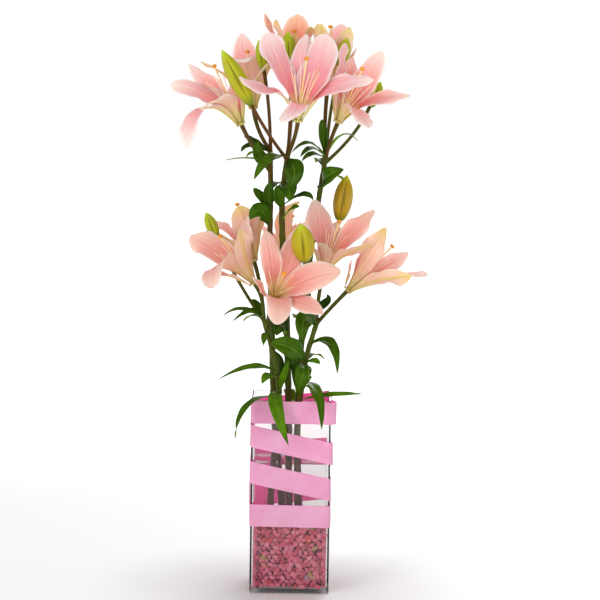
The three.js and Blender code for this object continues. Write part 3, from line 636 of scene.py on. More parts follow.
@dataclass(frozen=True)
class StamenFinish:
    """Pale filaments and style, greener at the foot, with an orange stigma."""

    name: str = "stamens_moist"
    foot: Colour = srgb(236, 226, 120)
    middle: Colour = srgb(255, 241, 196)
    tip: Colour = srgb(254, 226, 192)
    style: Colour = srgb(252, 220, 150)
    stigma: Colour = srgb(246, 178, 40)
    stigma_dark: Colour = srgb(224, 132, 20)

    def material(self, shared: Shared) -> bpy.types.Material:
        """Makes the material.

        Args:
            shared: the shared node groups.

        Returns:
            The material.
        """
        made, nodes, shader, _ = new_material(self.name)
        _, along, _ = surface_places(nodes)
        part, _, _, _ = tint_parts(nodes)
        colour = nodes.ramp(along, ((0.0, self.foot), (0.3, self.middle), (1.0, self.tip)))
        colour = nodes.mix(nodes.math("GREATER_THAN", part, 0.25), colour, self.style)
        patches = {"Color": self.stigma, "Dark": self.stigma_dark, "Scale": 700.0, "Amount": 0.8}
        mottled = nodes.group(shared.mottle, patches)
        colour = nodes.mix(nodes.math("GREATER_THAN", part, 0.75), colour, mottled.outputs["Color"])
        nodes.put(shader.inputs["Base Color"], colour)
        set_sockets(shader, {
            "Roughness": 0.38, "Subsurface Weight": 0.3, "Subsurface Radius": (1.0, 0.6, 0.3),
            "Subsurface Scale": 0.002,
        })
        nodes.put(shader.inputs["Normal"], bump(nodes, mottled.outputs["Value"], 0.0002, 0.5))
        return made


@dataclass(frozen=True)
class BudFinish:
    """Waxy buds: lime to olive by their own tint, darker in the three grooves."""

    name: str = "bud_waxy"
    lime: Colour = srgb(170, 184, 14)
    olive: Colour = srgb(190, 156, 24)
    groove: Colour = srgb(96, 88, 8)
    tip: Colour = srgb(184, 206, 34)
    foot: Colour = srgb(112, 126, 20)

    def material(self, shared: Shared) -> bpy.types.Material:
        """Makes the material.

        Args:
            shared: the shared node groups.

        Returns:
            The material.
        """
        made, nodes, shader, _ = new_material(self.name)
        across, along, _ = surface_places(nodes)
        ripe, groove, seed, _ = tint_parts(nodes)
        veins = nodes.group(shared.veins, {"Across": across, "Along": along, "Seed": seed, "Count": 60.0})
        colour = nodes.mix(ripe, self.lime, self.olive)
        lines = nodes.math("MULTIPLY", nodes.step(veins.outputs["Fine"], 0.45, 0.75), 0.35)
        colour = nodes.mix(lines, colour, self.groove)
        colour = nodes.mix(nodes.math("MULTIPLY", nodes.step(along, 0.8, 1.0), 0.8), colour, self.tip)
        colour = nodes.mix(nodes.math("SUBTRACT", 1.0, nodes.step(along, 0.0, 0.25)), colour, self.foot)
        colour = nodes.mix(nodes.math("MULTIPLY", nodes.step(groove, 0.35, 1.0), 0.75), colour, self.groove)
        nodes.put(shader.inputs["Base Color"], colour)
        set_sockets(shader, {
            "Roughness": 0.36, "Specular IOR Level": 0.28, "Subsurface Weight": 0.15,
            "Subsurface Radius": (0.8, 1.0, 0.3), "Subsurface Scale": 0.002,
        })
        nodes.put(shader.inputs["Normal"], bump(nodes, veins.outputs["Fine"], 0.0003, 0.7))
        return made


@dataclass(frozen=True)
class LeafFinish:
    """Glossy leaves with parallel veins and a paler midrib, duller and lighter below; their tone from dark to
    bright green is partly random and partly painted light.
    """

    name: str = "leaf_glossy"
    dark: Colour = srgb(24, 54, 3)
    bright: Colour = srgb(88, 134, 8)
    below: Colour = srgb(108, 146, 28)
    rib: Colour = srgb(132, 164, 44)
    gloss: Colour = (0.75, 0.95, 0.4)

    def material(self, shared: Shared) -> bpy.types.Material:
        """Makes the material.

        Args:
            shared: the shared node groups.

        Returns:
            The material.
        """
        made, nodes, shader, _ = new_material(self.name)
        across, along, off = surface_places(nodes)
        upper, tone, seed, _ = tint_parts(nodes)
        veins = nodes.group(shared.veins, {"Across": across, "Along": along, "Seed": seed, "Count": 34.0})
        # painted light: the tone mixes dark and bright green, bright for leaves painted as lit and dark for
        # those painted as in shade
        colour = nodes.mix(tone, self.dark, self.bright)
        patches = {"Color": colour, "Dark": self.dark, "Scale": 60.0, "Amount": 0.45}
        mottled = nodes.group(shared.mottle, patches)
        colour = nodes.mix(nodes.math("SUBTRACT", 1.0, upper), mottled.outputs["Color"], self.below)
        lines = nodes.math("MULTIPLY", nodes.step(veins.outputs["Fine"], 0.5, 0.7), 0.14)
        colour = nodes.mix(lines, colour, self.rib)
        rib = nodes.math("MULTIPLY", nodes.math("SUBTRACT", 1.0, nodes.step(off, 0.03, 0.11)), 0.3)
        colour = nodes.mix(rib, colour, self.rib)
        nodes.put(shader.inputs["Base Color"], colour)
        nodes.put(shader.inputs["Roughness"], nodes.linear(upper, -0.2, 0.5))
        shader.inputs["Specular IOR Level"].default_value = 0.2
        nodes.put(shader.inputs["Specular Tint"], self.gloss)
        set_sockets(shader, {
            "Subsurface Weight": 0.35, "Subsurface Radius": (0.6, 1.0, 0.1),
            "Subsurface Scale": 0.0015,
        })
        nodes.put(shader.inputs["Normal"], bump(nodes, veins.outputs["Fine"], 0.0003, 0.8))
        return made


@dataclass(frozen=True)
class StemFinish:
    """Stems from olive green to purple-brown by their own tint, brown under water."""

    name: str = "stem_ridged"
    green: Colour = srgb(76, 94, 20)
    brown: Colour = srgb(98, 56, 24)
    drowned: Colour = srgb(92, 36, 20)
    ridge: Colour = srgb(48, 44, 22)
    gloss: Colour = (0.9, 0.85, 0.5)
    water_line: float = WATER_TOP * MM

    def material(self, shared: Shared) -> bpy.types.Material:
        """Makes the material.

        Args:
            shared: the shared node groups.

        Returns:
            The material.
        """
        made, nodes, shader, _ = new_material(self.name)
        across, along, _ = surface_places(nodes)
        brown, _, seed, _ = tint_parts(nodes)
        length = nodes.math("MULTIPLY", along, 3.0)
        veins = nodes.group(shared.veins, {"Across": across, "Along": length, "Seed": seed, "Count": 26.0})
        uneven = nodes.math("MULTIPLY", nodes.math("SUBTRACT", veins.outputs["Broad"], 0.5), 1.4)
        share = nodes.math("ADD", brown, uneven, clamp=True)
        colour = nodes.mix(share, self.green, self.brown)
        high = nodes.add("SeparateXYZ", {0: nodes.add("TexCoord").outputs["Object"]}).outputs[2]
        wet = nodes.math("SUBTRACT", 1.0, nodes.step(high, self.water_line - 0.03, self.water_line + 0.05))
        colour = nodes.mix(wet, colour, self.drowned)
        patches = {"Color": colour, "Dark": self.ridge, "Scale": 260.0, "Amount": 0.4}
        mottled = nodes.group(shared.mottle, patches)
        nodes.put(shader.inputs["Base Color"], mottled.outputs["Color"])
        set_sockets(shader, {"Roughness": 0.45, "Specular IOR Level": 0.25})
        nodes.put(shader.inputs["Specular Tint"], self.gloss)
        height = nodes.math("ADD", veins.outputs["Fine"], mottled.outputs["Value"])
        nodes.put(shader.inputs["Normal"], bump(nodes, height, 0.0003, 0.8))
        return made


def clear_material(name: str, tint: Colour, shade: Colour, ior: float) -> bpy.types.Material:
    """Glass or water: clear, with soft coloured shadows so that what is inside stays bright.

    Args:
        name: the material's name.
        tint: the colour that it gives what is seen through it.
        shade: the share of light that its shadow lets through.
        ior: its index of refraction.

    Returns:
        The material.
    """
    made, nodes, shader, output = new_material(name)
    set_sockets(shader, {
        "Base Color": (*tint, 1.0), "Roughness": 0.0, "IOR": ior, "Transmission Weight": 1.0,
        "Specular IOR Level": 0.25,
    })
    thin = nodes.add("BsdfTransparent", {0: shade})
    paths = nodes.add("LightPath")
    soft = nodes.math("MAXIMUM", paths.outputs["Is Shadow Ray"], paths.outputs["Is Diffuse Ray"])
    both = nodes.add("MixShader", {0: soft, 1: shader.outputs[0], 2: thin.outputs[0]})
    nodes.put(output.inputs["Surface"], both.outputs[0])
    return made


@dataclass(frozen=True)
class PebbleFinish:
    """Dyed pebbles, mostly pink, each with its own colour; the layer behind and the core are darkened with
    painted shade, for the shade between the front chips.
    """

    name: str = "pebble_dyed"
    colours: Stops = (
        (0.0, srgb(210, 76, 108)), (0.2, srgb(228, 104, 132)), (0.42, srgb(198, 56, 90)),
        (0.6, srgb(220, 86, 118)), (0.76, srgb(178, 36, 68)), (0.86, srgb(240, 132, 150)),
        (0.925, srgb(222, 84, 40)), (0.95, srgb(204, 40, 52)), (0.97, srgb(176, 144, 78)),
        (0.985, srgb(156, 132, 148)),
    )
    pale: Colour = srgb(246, 168, 182)
    gap: Colour = srgb(84, 16, 36)
    vein: Colour = srgb(120, 34, 60)

    def material(self, shared: Shared) -> bpy.types.Material:
        """Makes the material.

        Args:
            shared: the shared node groups.

        Returns:
            The material.
        """
        made, nodes, shader, _ = new_material(self.name)
        pick, light, deep, _ = tint_parts(nodes)
        colour = nodes.ramp(pick, self.colours, hard=True)
        colour = nodes.mix(nodes.math("MULTIPLY", light, 0.42), colour, self.pale)
        # painted shade: the layer behind and the core take the dark gap colour, for the shade between the
        # chips in front
        colour = nodes.mix(nodes.math("MULTIPLY", deep, 0.85), colour, self.gap)
        patches = {"Color": colour, "Dark": self.vein, "Scale": 420.0, "Amount": 0.35}
        mottled = nodes.group(shared.mottle, patches)
        nodes.put(shader.inputs["Base Color"], mottled.outputs["Color"])
        set_sockets(shader, {
            "Roughness": 0.5, "Specular IOR Level": 0.25, "Coat Weight": 0.1, "Coat Roughness": 0.2,
        })
        nodes.put(shader.inputs["Normal"], bump(nodes, mottled.outputs["Value"], 0.0004, 0.6))
        return made


@dataclass(frozen=True)
class SatinFinish:
    """Satin ribbon: fine warp lines along it, a selvedge at each edge, and a deeper pink on its inner face,
    painted light for what shines through the cloth.

    The inner face also gives off a little pink light, a painted glow for what comes through the cloth.
    """

    name: str = "ribbon_satin"
    face: Colour = srgb(251, 177, 206)
    inner: Colour = srgb(250, 80, 166)
    through: Colour = srgb(246, 104, 168)
    shade: Colour = srgb(236, 146, 184)
    glow: float = 0.3

    def threads(self, nodes: Nodes, place: Socket, scale: float) -> Socket:
        """Fine lines of 0 to 1 square to a place along or across the ribbon.

        Args:
            nodes: the tree that they are added to.
            place: across or along.
            scale: how fine they are.

        Returns:
            The lines' output.
        """
        vector = nodes.add("CombineXYZ", {0: place}).outputs[0]
        inputs = {"Vector": vector, "Scale": scale, "Distortion": 0.0}
        return nodes.add("TexWave", inputs, bands_direction="X").outputs["Fac"]

    def material(self, shared: Shared) -> bpy.types.Material:
        """Makes the material.

        Args:
            shared: the shared node groups.

        Returns:
            The material.
        """
        made, nodes, shader, _ = new_material(self.name)
        across, along, off = surface_places(nodes)
        upper, _, _, _ = tint_parts(nodes)
        warp = self.threads(nodes, across, 22.0)
        weft = self.threads(nodes, along, 420.0)
        patches = {"Color": self.face, "Dark": self.shade, "Scale": 35.0, "Amount": 0.5}
        mottled = nodes.group(shared.mottle, patches)
        woven = nodes.math("MULTIPLY", nodes.math("MULTIPLY", warp, weft), 0.18)
        colour = nodes.mix(woven, mottled.outputs["Color"], self.shade)
        selvedge = nodes.step(off, 0.9, 0.96)
        colour = nodes.mix(nodes.math("MULTIPLY", selvedge, 0.45), colour, self.shade)
        # painted light: the inner face takes a deeper pink and a pink glow, for light that comes through the
        # cloth from behind
        within = nodes.math("SUBTRACT", 1.0, upper)
        colour = nodes.mix(within, colour, self.inner)
        nodes.put(shader.inputs["Base Color"], colour)
        nodes.put(shader.inputs["Emission Color"], self.through)
        nodes.put(shader.inputs["Emission Strength"], nodes.math("MULTIPLY", within, self.glow))
        set_sockets(shader, {
            "Roughness": 0.42, "Subsurface Weight": 0.65, "Subsurface Radius": (1.0, 0.5, 0.8),
            "Subsurface Scale": 0.002, "Anisotropic": 0.5, "Sheen Weight": 0.25,
            "Sheen Roughness": 0.35, "Specular IOR Level": 0.4,
        })
        height = nodes.math("ADD", nodes.math("ADD", warp, weft), nodes.math("MULTIPLY", selvedge, 2.0))
        nodes.put(shader.inputs["Normal"], bump(nodes, height, 0.00008, 0.6))
        return made


def mirror_ray(nodes: Nodes) -> Socket:
    """One where light is followed from a mirror image, zero elsewhere."""
    paths = nodes.add("LightPath")
    return nodes.math("MULTIPLY", paths.outputs["Is Glossy Ray"], paths.outputs["Is Reflection Ray"])


@dataclass(frozen=True)
class FloorFinish:
    """Plain pale studio floor, dim in mirror images, with a painted white glow that grows with the distance
    from the vase and so paints a soft shadow round its foot.
    """

    name: str = "studio_pale"
    colour: Colour = (0.84, 0.84, 0.845)
    worn: Colour = (0.82, 0.82, 0.825)
    mirrored: Colour = (0.1, 0.1, 0.1)

    def material(self, shared: Shared) -> bpy.types.Material:
        """Makes the material.

        Args:
            shared: the shared node groups.

        Returns:
            The material.
        """
        made, nodes, shader, _ = new_material(self.name)
        patches = {"Color": self.colour, "Dark": self.worn, "Scale": 3.0, "Amount": 0.4}
        mottled = nodes.group(shared.mottle, patches)
        dim = nodes.math("MULTIPLY", mirror_ray(nodes), 0.7)
        nodes.put(shader.inputs["Base Color"], nodes.mix(dim, mottled.outputs["Color"], self.mirrored))
        set_sockets(shader, {"Roughness": 0.6, "Specular IOR Level": 0.2})
        # painted light: the floor glows white, not at all by the vase and more with the distance from it,
        # which leaves a painted soft shadow round the foot
        place = nodes.add("TexCoord").outputs["Object"]
        away = nodes.add("VectorMath", {0: place}, operation="LENGTH").outputs["Value"]
        far = nodes.math("MULTIPLY", nodes.step(away, 0.6, 2.4), 0.8)
        shader.inputs["Emission Color"].default_value = WHITE
        nodes.put(shader.inputs["Emission Strength"], nodes.linear(nodes.step(away, 0.03, 0.3), 0.26, far))
        return made


# ---- Blooms -----------------------------------------------------------------------------------

# Height and radius of the receptacle, and the gap that keeps pieces apart.
SEAT_H = 2.5
SEAT_R = 6.4
GAP = 0.3
# Tepals: the lean at the foot, the place of the full width, and the share of it at the claw.
START_ANGLE = 18.0
WIDEST = 0.58
CLAW = 0.1
# The outer tepals' belly, and the cup and wave of all as shares of the half width.
BELLY = 2.4
CUP = 0.26
WAVE = 0.2
# How far the foot of an inner and an outer tepal stands from the axis, and each pair's step.
FOOT_INNER = 2.9
FOOT_OUTER = 4.9
FOOT_STEP = 0.35
# The low relief: ridges beside the midrib's channel, and the margins' ruffle and droop.
RIDGE = 0.45
CHANNEL = 0.9
RUFFLE = 1.2
DROOP = 1.2
RUFFLE_SHARE = 0.09
RUFFLED_FROM = 90.0
# A filament's radius at its foot, and the stigma's size and height.
FILAMENT_R = 1.1
STIGMA_SIZE = 3.7
STIGMA_H = 4.2
# Where a bud starts to close, and how far its round tip reaches from there.
BUD_CLOSES = 0.7
BUD_TIP = 0.302


@dataclass(frozen=True)
class Frame:
    """Base point and axes of a bloom: first to its front side, second to its right."""

    base: Array
    axis: Array
    first: Array
    second: Array

    @staticmethod
    def of(base: Sequence[float], axis: Sequence[float]) -> "Frame":
        """The frame of a bloom that faces along an axis.

        Args:
            base: its base point.
            axis: the way it faces.

        Returns:
            The frame.
        """
        up = unit(axis)
        first = unit(FRONT - up * (FRONT @ up))
        return Frame(np.asarray(base, dtype=float), up, first, np.cross(up, first))

    def at(self, angle: Array, out: Array, up: Array) -> Array:
        """Points given by angle, distance out and height above the base.

        Args:
            angle: radians from the front.
            out: distance from the axis.
            up: height along it.

        Returns:
            The points.
        """
        angle, out, up = np.broadcast_arrays(angle, out, up)
        side = np.cos(angle)[..., None] * self.first + np.sin(angle)[..., None] * self.second
        return self.base + up[..., None] * self.axis + out[..., None] * side


@dataclass(frozen=True)
class Tepal:
    """One tepal: turn from the front, opening, curl, length, width, sideways bend and twist."""

    phi: float
    open: float
    curl: float
    length: float
    wide: float
    side: float = 0.0
    twist: float = 0.0

    def angle(self, u: Array) -> Array:
        """Degrees between the midrib and the bloom's axis at u: a smooth opening, then a curl."""
        spread = (self.open - START_ANGLE) * smooth((u - 0.08) / 0.56)
        return START_ANGLE + spread + self.curl * smooth((u - 0.45) / 0.55)

    def width(self, u: Array, inner: bool) -> Array:
        """Share of the full half width: a sine rise from the claw, then a rounded tip.

        Args:
            u: places along, 0 to 1.
            inner: True for the broad inner ones.

        Returns:
            The shares.
        """
        grow = CLAW + (1 - CLAW) * np.sin(np.pi / 2 * clamp01(u / WIDEST))
        t = clamp01((u - WIDEST) / (1 - WIDEST))
        power, root = (2.6, 0.58) if inner else (2.0, 0.74)
        return np.maximum(grow * np.maximum(0, 1 - t**power) ** root, 0.02)

    def middle(self, axes: Frame, index: int, u: Array, v: Array) -> tuple[Array, Array]:
        """The tepal's middle surface on a grid.

        The midrib follows the opening angle, summed along u. Across it the blade is cupped by the
        square of v and rippled by a sine along each margin, and near the foot it wraps round the
        bloom's axis. A channel runs along the midrib between two low ridges. The margins droop a
        little and are finely ruffled by two sines, less so where the tepal is narrow or short.

        Args:
            axes: the bloom's base and axes.
            index: its place in the bloom; even ones are the broad inner ones.
            u: places along, 0 to 1.
            v: places across, -1 to 1.

        Returns:
            Points and the direction that the upper face looks.
        """
        inner = index % 2 == 0
        phase = 1.7 * index + axes.base[0] * 0.1
        shares = (np.arange(24) + 0.5) / 24
        lean_along = np.radians(self.angle(u[:, None] * shares))
        out = (np.sin(lean_along).mean(axis=1) * u * self.length)[:, None]
        up = (np.cos(lean_along).mean(axis=1) * u * self.length)[:, None]
        turn = np.radians(self.phi + self.side * u**2)[:, None]
        away = np.cos(turn) * axes.first + np.sin(turn) * axes.second
        cross = np.cos(turn) * axes.second - np.sin(turn) * axes.first
        lean = np.radians(self.angle(u))[:, None]
        face = np.sin(lean) * axes.axis - np.cos(lean) * away
        twist = np.radians(self.twist * u**2)[:, None]
        right = np.cos(twist) * cross + np.sin(twist) * face
        normal = np.cos(twist) * face - np.sin(twist) * cross
        u, v = u[:, None], v[None, :]
        edge, sign = np.abs(v), np.sign(v)
        radius = (FOOT_INNER if inner else FOOT_OUTER) + FOOT_STEP * (index // 2) + out
        wrap = 1 - smooth((u - 0.15) / 0.45)
        full = self.wide / 2 * self.width(u, inner)
        half = (full**-4 + (0.85 * radius / np.maximum(wrap, 0.05)) ** -4) ** -0.25
        cup = CUP * (0.25 + 0.75 * smooth(u / 0.15)) * (1 - 0.8 * smooth((u - 0.3) / 0.6))
        ripple = WAVE * smooth((u - 0.2) / 0.4) * np.sin(8.5 * u + phase + 1.3 * sign)
        ridge = smooth(u / 0.2) * (1 - smooth((u - 0.7) / 0.3))
        fine = RIDGE * ridge * np.exp(-(((edge - 0.17) / 0.08) ** 2))
        fine = fine - CHANNEL * ridge * np.exp(-((v / 0.055) ** 2))
        margin = np.sin(21 * u + 2.3 * phase + 1.9 * sign) + 0.5 * np.sin(37 * u + phase - sign)
        ruffle = np.minimum(RUFFLE, RUFFLE_SHARE * half) * min(1.0, self.length / RUFFLED_FROM) ** 2
        fine = fine + ruffle * edge**3 * smooth((u - 0.25) / 0.3) * margin
        fine = fine - DROOP * smooth((edge - 0.55) / 0.45) ** 2 * smooth((u - 0.4) / 0.4)
        belly = 0.0 if inner else BELLY * smooth(u / 0.3)
        bow = half * v / radius
        side = (1 - wrap) * half * v + wrap * radius * np.sin(bow)
        inward = radius * (1 - np.cos(bow)) - belly
        lift = (1 - wrap) * (half * v**2 * (cup + ripple) - belly) + fine
        points = axes.base + (SEAT_H * smooth(u / 0.02 + 0.2) + up)[..., None] * axes.axis
        points = points + (radius - wrap * inward)[..., None] * away[:, None]
        points = points + side[..., None] * right[:, None] + lift[..., None] * normal[:, None]
        return points, normal


class Hue(Enum):
    """Which petal finish a bloom wears."""

    PINK = "petal"
    SALMON = "petal_salmon"


@dataclass
class Bloom:
    """One open bloom: its six tepals on a small receptacle, and its group of filaments and style."""

    number: int
    stem: int
    leaves_at: float
    base: tuple[float, float, float]
    axis: tuple[float, float, float]
    tepals: Sequence[Tepal]
    reach: float = 74.0
    fan: float = 17.0
    lean: tuple[float, float] = (0.0, 0.0)
    turn: float = 20.0
    warm: float = 0.0
    deep: float = 1.0
    hue: Hue = Hue.PINK
    rows: int = 36

    def build(self, finishes: Finishes) -> list[bpy.types.Object]:
        """Makes both pieces.

        Args:
            finishes: the materials by slot name.

        Returns:
            The tepals' piece and the stamens' piece.
        """
        axes = Frame.of(self.base, self.axis)
        name = f"{self.number:02d}"
        petals = self.petals(axes).piece(f"lily_{name}")
        stamens = self.stamens(axes).piece(f"filaments_{name}")
        hue = self.hue.value
        dress(petals, [finishes[hue]], f"bloom_{name}")
        dress(stamens, [finishes["stamens"]], f"stamens_{name}")
        return [petals, stamens]

    def petals(self, axes: Frame) -> Shells:
        """The tepals, thin blades that are thickest along the midrib, and the receptacle.

        Args:
            axes: the bloom's base and axes.

        Returns:
            The closed surfaces.
        """
        shells = Shells()
        u = np.sin(np.pi / 2 * np.linspace(0, 1, self.rows))
        half = np.array([0.0, 0.045, 0.1, 0.17, 0.28, 0.42, 0.57, 0.72, 0.85, 0.94, 1.0])
        v = np.concatenate([-half[:0:-1], half])
        draw = Draw(97 * self.number + 11)
        for index, tepal in enumerate(self.tepals):
            middle, like = tepal.middle(axes, index, u, v)
            normal = surface_normals(middle, like[:, None])
            blade = (0.8 - 0.3 * u[:, None]) * (1 - 0.6 * np.abs(v) ** 3)
            thick = blade + 0.5 * np.exp(-((v / 0.07) ** 2)) * (1 - u[:, None])
            grid, places = blade_grid(middle, normal, v, thick)
            uv = pairs(places[:, 0], u[:, None])
            inner = 1.0 if index % 2 == 0 else 0.0
            tint = tints(uv, places[:, 1], inner, self.deep * draw(), self.warm)
            shells.tube(grid, uv, tint)
        rise = np.linspace(0, 1, 9)[:, None]
        angle = around(36)
        size = (2.5 + (SEAT_R - 2.3) * smooth(rise * 0.9) ** 0.8) * (1 + 0.05 * np.cos(6 * angle) * rise)
        grid = axes.at(angle, size * np.where(rise > 0.95, 0.9, 1.0), SEAT_H * 1.5 * rise)
        shells.tube(grid, (0.5, 0.0), (0.0, 0.0, 0.5, self.warm), round_ends=True)
        return shells

    def spine(self, axes: Frame, angle: float, out: Array, t: Array, tall: float) -> Array:
        """A curve that rises from the seat to a height, moved out and aside by the square of t.

        Args:
            axes: the bloom's base and axes.
            angle: radians from the front.
            out: distance from the axis at each t.
            t: places along, 0 to 1.
            tall: the height of its end.

        Returns:
            The points.
        """
        foot = SEAT_H + GAP + 2.0
        points = axes.at(angle, out, foot + t * (tall - foot))
        return points + t[:, None] ** 2 * (self.lean[0] * axes.first + self.lean[1] * axes.second)

    def stamens(self, axes: Frame) -> Shells:
        """Six bare tapering filaments, and a style that ends in a stigma of three lobes.

        Args:
            axes: the bloom's base and axes.

        Returns:
            The closed surfaces.
        """
        shells = Shells()
        draw = Draw(53 * self.number + 7)
        t = np.linspace(0, 1, 15)
        for k in range(6):
            tall = (self.reach - 12) * (1 - 0.04 * (k % 3))
            path = self.spine(axes, math.radians(60 * k + self.turn), 1.6 + self.fan * t**1.35, t, tall)
            sway = 1.5 * (draw() - 0.5) * np.sin(np.pi * t)
            path = path + sway[:, None] * axes.second
            grid = rings_along(path, FILAMENT_R - 0.6 * t**0.8, 8)
            uv = pairs(np.arange(8) / 8, t[:, None])
            shells.tube(grid, uv, (0, 0, draw(), 1), round_ends=True)
        t = np.linspace(0, 0.96, 15)
        path = self.spine(axes, 0.0, 0 * t, t, self.reach)
        grid = rings_along(path, 1.25 - 0.25 * smooth(t * 2) + 0.35 * smooth((t - 0.8) / 0.2), 12)
        uv = pairs(np.arange(12) / 12, t[:, None])
        shells.tube(grid, uv, (0.5, 0, 0.3, 1), round_ends=True)
        head = self.spine(axes, 0.0, np.zeros(1), np.ones(1), self.reach)[0]
        rise = np.linspace(0, 1, 10)[:, None]
        angle = around(30)
        lobes = 0.8 + 0.2 * np.cos(3 * angle)
        size = STIGMA_SIZE * lobes * np.sin(np.pi * (0.16 + 0.8 * rise)) ** 0.6
        high = STIGMA_H * rise - 2.4 - 0.6 * smooth(rise * 3 - 2) * (1 - lobes)
        grid = Frame(head, axes.axis, axes.first, axes.second).at(angle, size, high)
        shells.tube(grid, (0.5, 1.0), (1.0, 0, 0.3, 1), round_ends=True)
        rise = np.linspace(0, 1, 6)[:, None]
        grid = axes.at(angle, 2.5 - 0.9 * smooth(rise), SEAT_H + GAP + 3.0 * rise)
        shells.tube(grid, (0.5, 0.0), (0.0, 0, 0.3, 1), round_ends=True)
        return shells


BLOOMS = [
    Bloom(1, 1, 552, (3, -34, 593), (0.12, -0.3, 0.95), reach=84, tepals=[
        Tepal(2, 100, 10, 88, 25, -19), Tepal(84, 58, 20, 114, 36, 2, 42), Tepal(141, 28, 4, 113, 46, 15, 14),
        Tepal(188, 32, 6, 110, 32, -4), Tepal(252, 36, 2, 114, 47, -8, -34),
        Tepal(298, 85, -29, 108, 25, 0, -28)]),
    Bloom(2, 0, 530, (-67, -15, 588), (-0.43, -0.1, 0.9), reach=82, warm=0.1, deep=0.1, tepals=[
        Tepal(348, 78, 4, 98, 36, -12), Tepal(72, 60, 0, 86, 26), Tepal(140, 24, 6, 66, 29),
        Tepal(208, 38, 4, 110, 26), Tepal(246, 40, 14, 101, 41, 8, -36),
        Tepal(303, 100, 52, 118, 32, 0, -36)]),
    Bloom(3, 0, 556, (-53, 32, 607), (-0.12, 0.02, 0.99), reach=74, fan=11, warm=0.1, tepals=[
        Tepal(352, 26, 84, 96, 36), Tepal(62, 30, 10, 90, 26), Tepal(115, 16, 6, 84, 33),
        Tepal(187, 28, -6, 106, 36), Tepal(238, 14, 2, 68, 30), Tepal(296, 50, 10, 92, 28)]),
    Bloom(4, 1, 552, (-4, 66, 640), (0.02, -0.16, 0.98), reach=68, fan=11, hue=Hue.SALMON, warm=0.2, tepals=[
        Tepal(174, 20, 6, 88, 37), Tepal(249, 25, -2, 92, 24), Tepal(298, 14, 2, 84, 33),
        Tepal(0, 24, 0, 74, 24), Tepal(58, 14, 0, 76, 33), Tepal(112, 24, -8, 60, 22)]),
    Bloom(5, 2, 540, (40, 42, 634), (0.09, 0.12, 0.98), reach=80, fan=11, lean=(0, -4), warm=0.4, tepals=[
        Tepal(44, 16, 4, 80, 33), Tepal(96, 30, -6, 60, 22), Tepal(168, 26, 14, 100, 34),
        Tepal(236, 30, -8, 50, 18), Tepal(292, 12, -4, 80, 27), Tepal(338, 30, 0, 84, 25)]),
    Bloom(6, 2, 548, (53, -4, 592), (0.38, -0.28, 0.88), reach=78, warm=0.4, tepals=[
        Tepal(28, 92, 6, 88, 29), Tepal(100, 52, 14, 98, 28, 0, 25), Tepal(148, 18, 2, 102, 35, 8),
        Tepal(200, 34, 0, 84, 28), Tepal(258, 22, 2, 97, 33, -22), Tepal(288, 32, -10, 70, 22)]),
    Bloom(7, 3, 330, (-26, -30, 370), (0.2, -0.83, 0.52), reach=76, warm=1.0, tepals=[
        Tepal(12, 34, 60, 102, 34), Tepal(62, 44, 18, 104, 28), Tepal(114, 38, 32, 110, 38),
        Tepal(178, 60, -2, 110, 31), Tepal(223, 42, 30, 96, 26, -4), Tepal(304, 28, -6, 84, 21)]),
    Bloom(8, 4, 338, (38, 6, 400), (0.24, -0.12, 0.95), reach=72, fan=12, lean=(0, 2), warm=0.7,
          deep=0.1, tepals=[
        Tepal(342, 48, 20, 64, 24), Tepal(54, 54, 0, 82, 26, 0, -40), Tepal(124, 30, 6, 102, 38),
        Tepal(180, 28, 4, 70, 25), Tepal(242, 22, 8, 92, 46, 0, -24), Tepal(288, 50, -14, 74, 24)]),
    Bloom(9, 3, 346, (-48, -22, 389), (-0.58, -0.12, 0.8), reach=76, warm=0.9, deep=0.1, tepals=[
        Tepal(332, 66, 62, 114, 38), Tepal(30, 44, -10, 90, 27), Tepal(92, 30, 10, 84, 34),
        Tepal(150, 58, -6, 92, 27), Tepal(212, 38, 14, 108, 40), Tepal(282, 42, -2, 62, 24)]),
    Bloom(10, 3, 346, (-50, 40, 412), (-0.3, 0.15, 0.94), reach=78, fan=12, warm=0.7, tepals=[
        Tepal(8, 16, 10, 74, 33), Tepal(60, 28, 4, 72, 26), Tepal(124, 22, 10, 74, 29),
        Tepal(176, 42, 2, 84, 26), Tepal(240, 34, 8, 78, 34), Tepal(298, 42, 4, 60, 25)]),
    Bloom(11, 1, 352, (-6, 60, 404), (0.05, 0.34, 0.94), reach=70, fan=12, hue=Hue.SALMON, warm=0.3, tepals=[
        Tepal(65, 26, 14, 88, 34), Tepal(125, 40, 14, 90, 28), Tepal(167, 36, 24, 94, 34),
        Tepal(221, 46, 8, 88, 27), Tepal(266, 24, -10, 40, 14), Tepal(319, 30, 34, 92, 23, 49)]),
    Bloom(12, 4, 338, (68, -6, 380), (0.69, -0.1, 0.72), reach=82, warm=0.6, deep=0.1, tepals=[
        Tepal(316, 18, 0, 98, 31), Tepal(40, 46, 0, 98, 29, 0, -40), Tepal(98, 36, 10, 102, 36),
        Tepal(156, 43, -4, 100, 26), Tepal(216, 33, 2, 76, 31), Tepal(268, 34, -6, 36, 18)]),
]


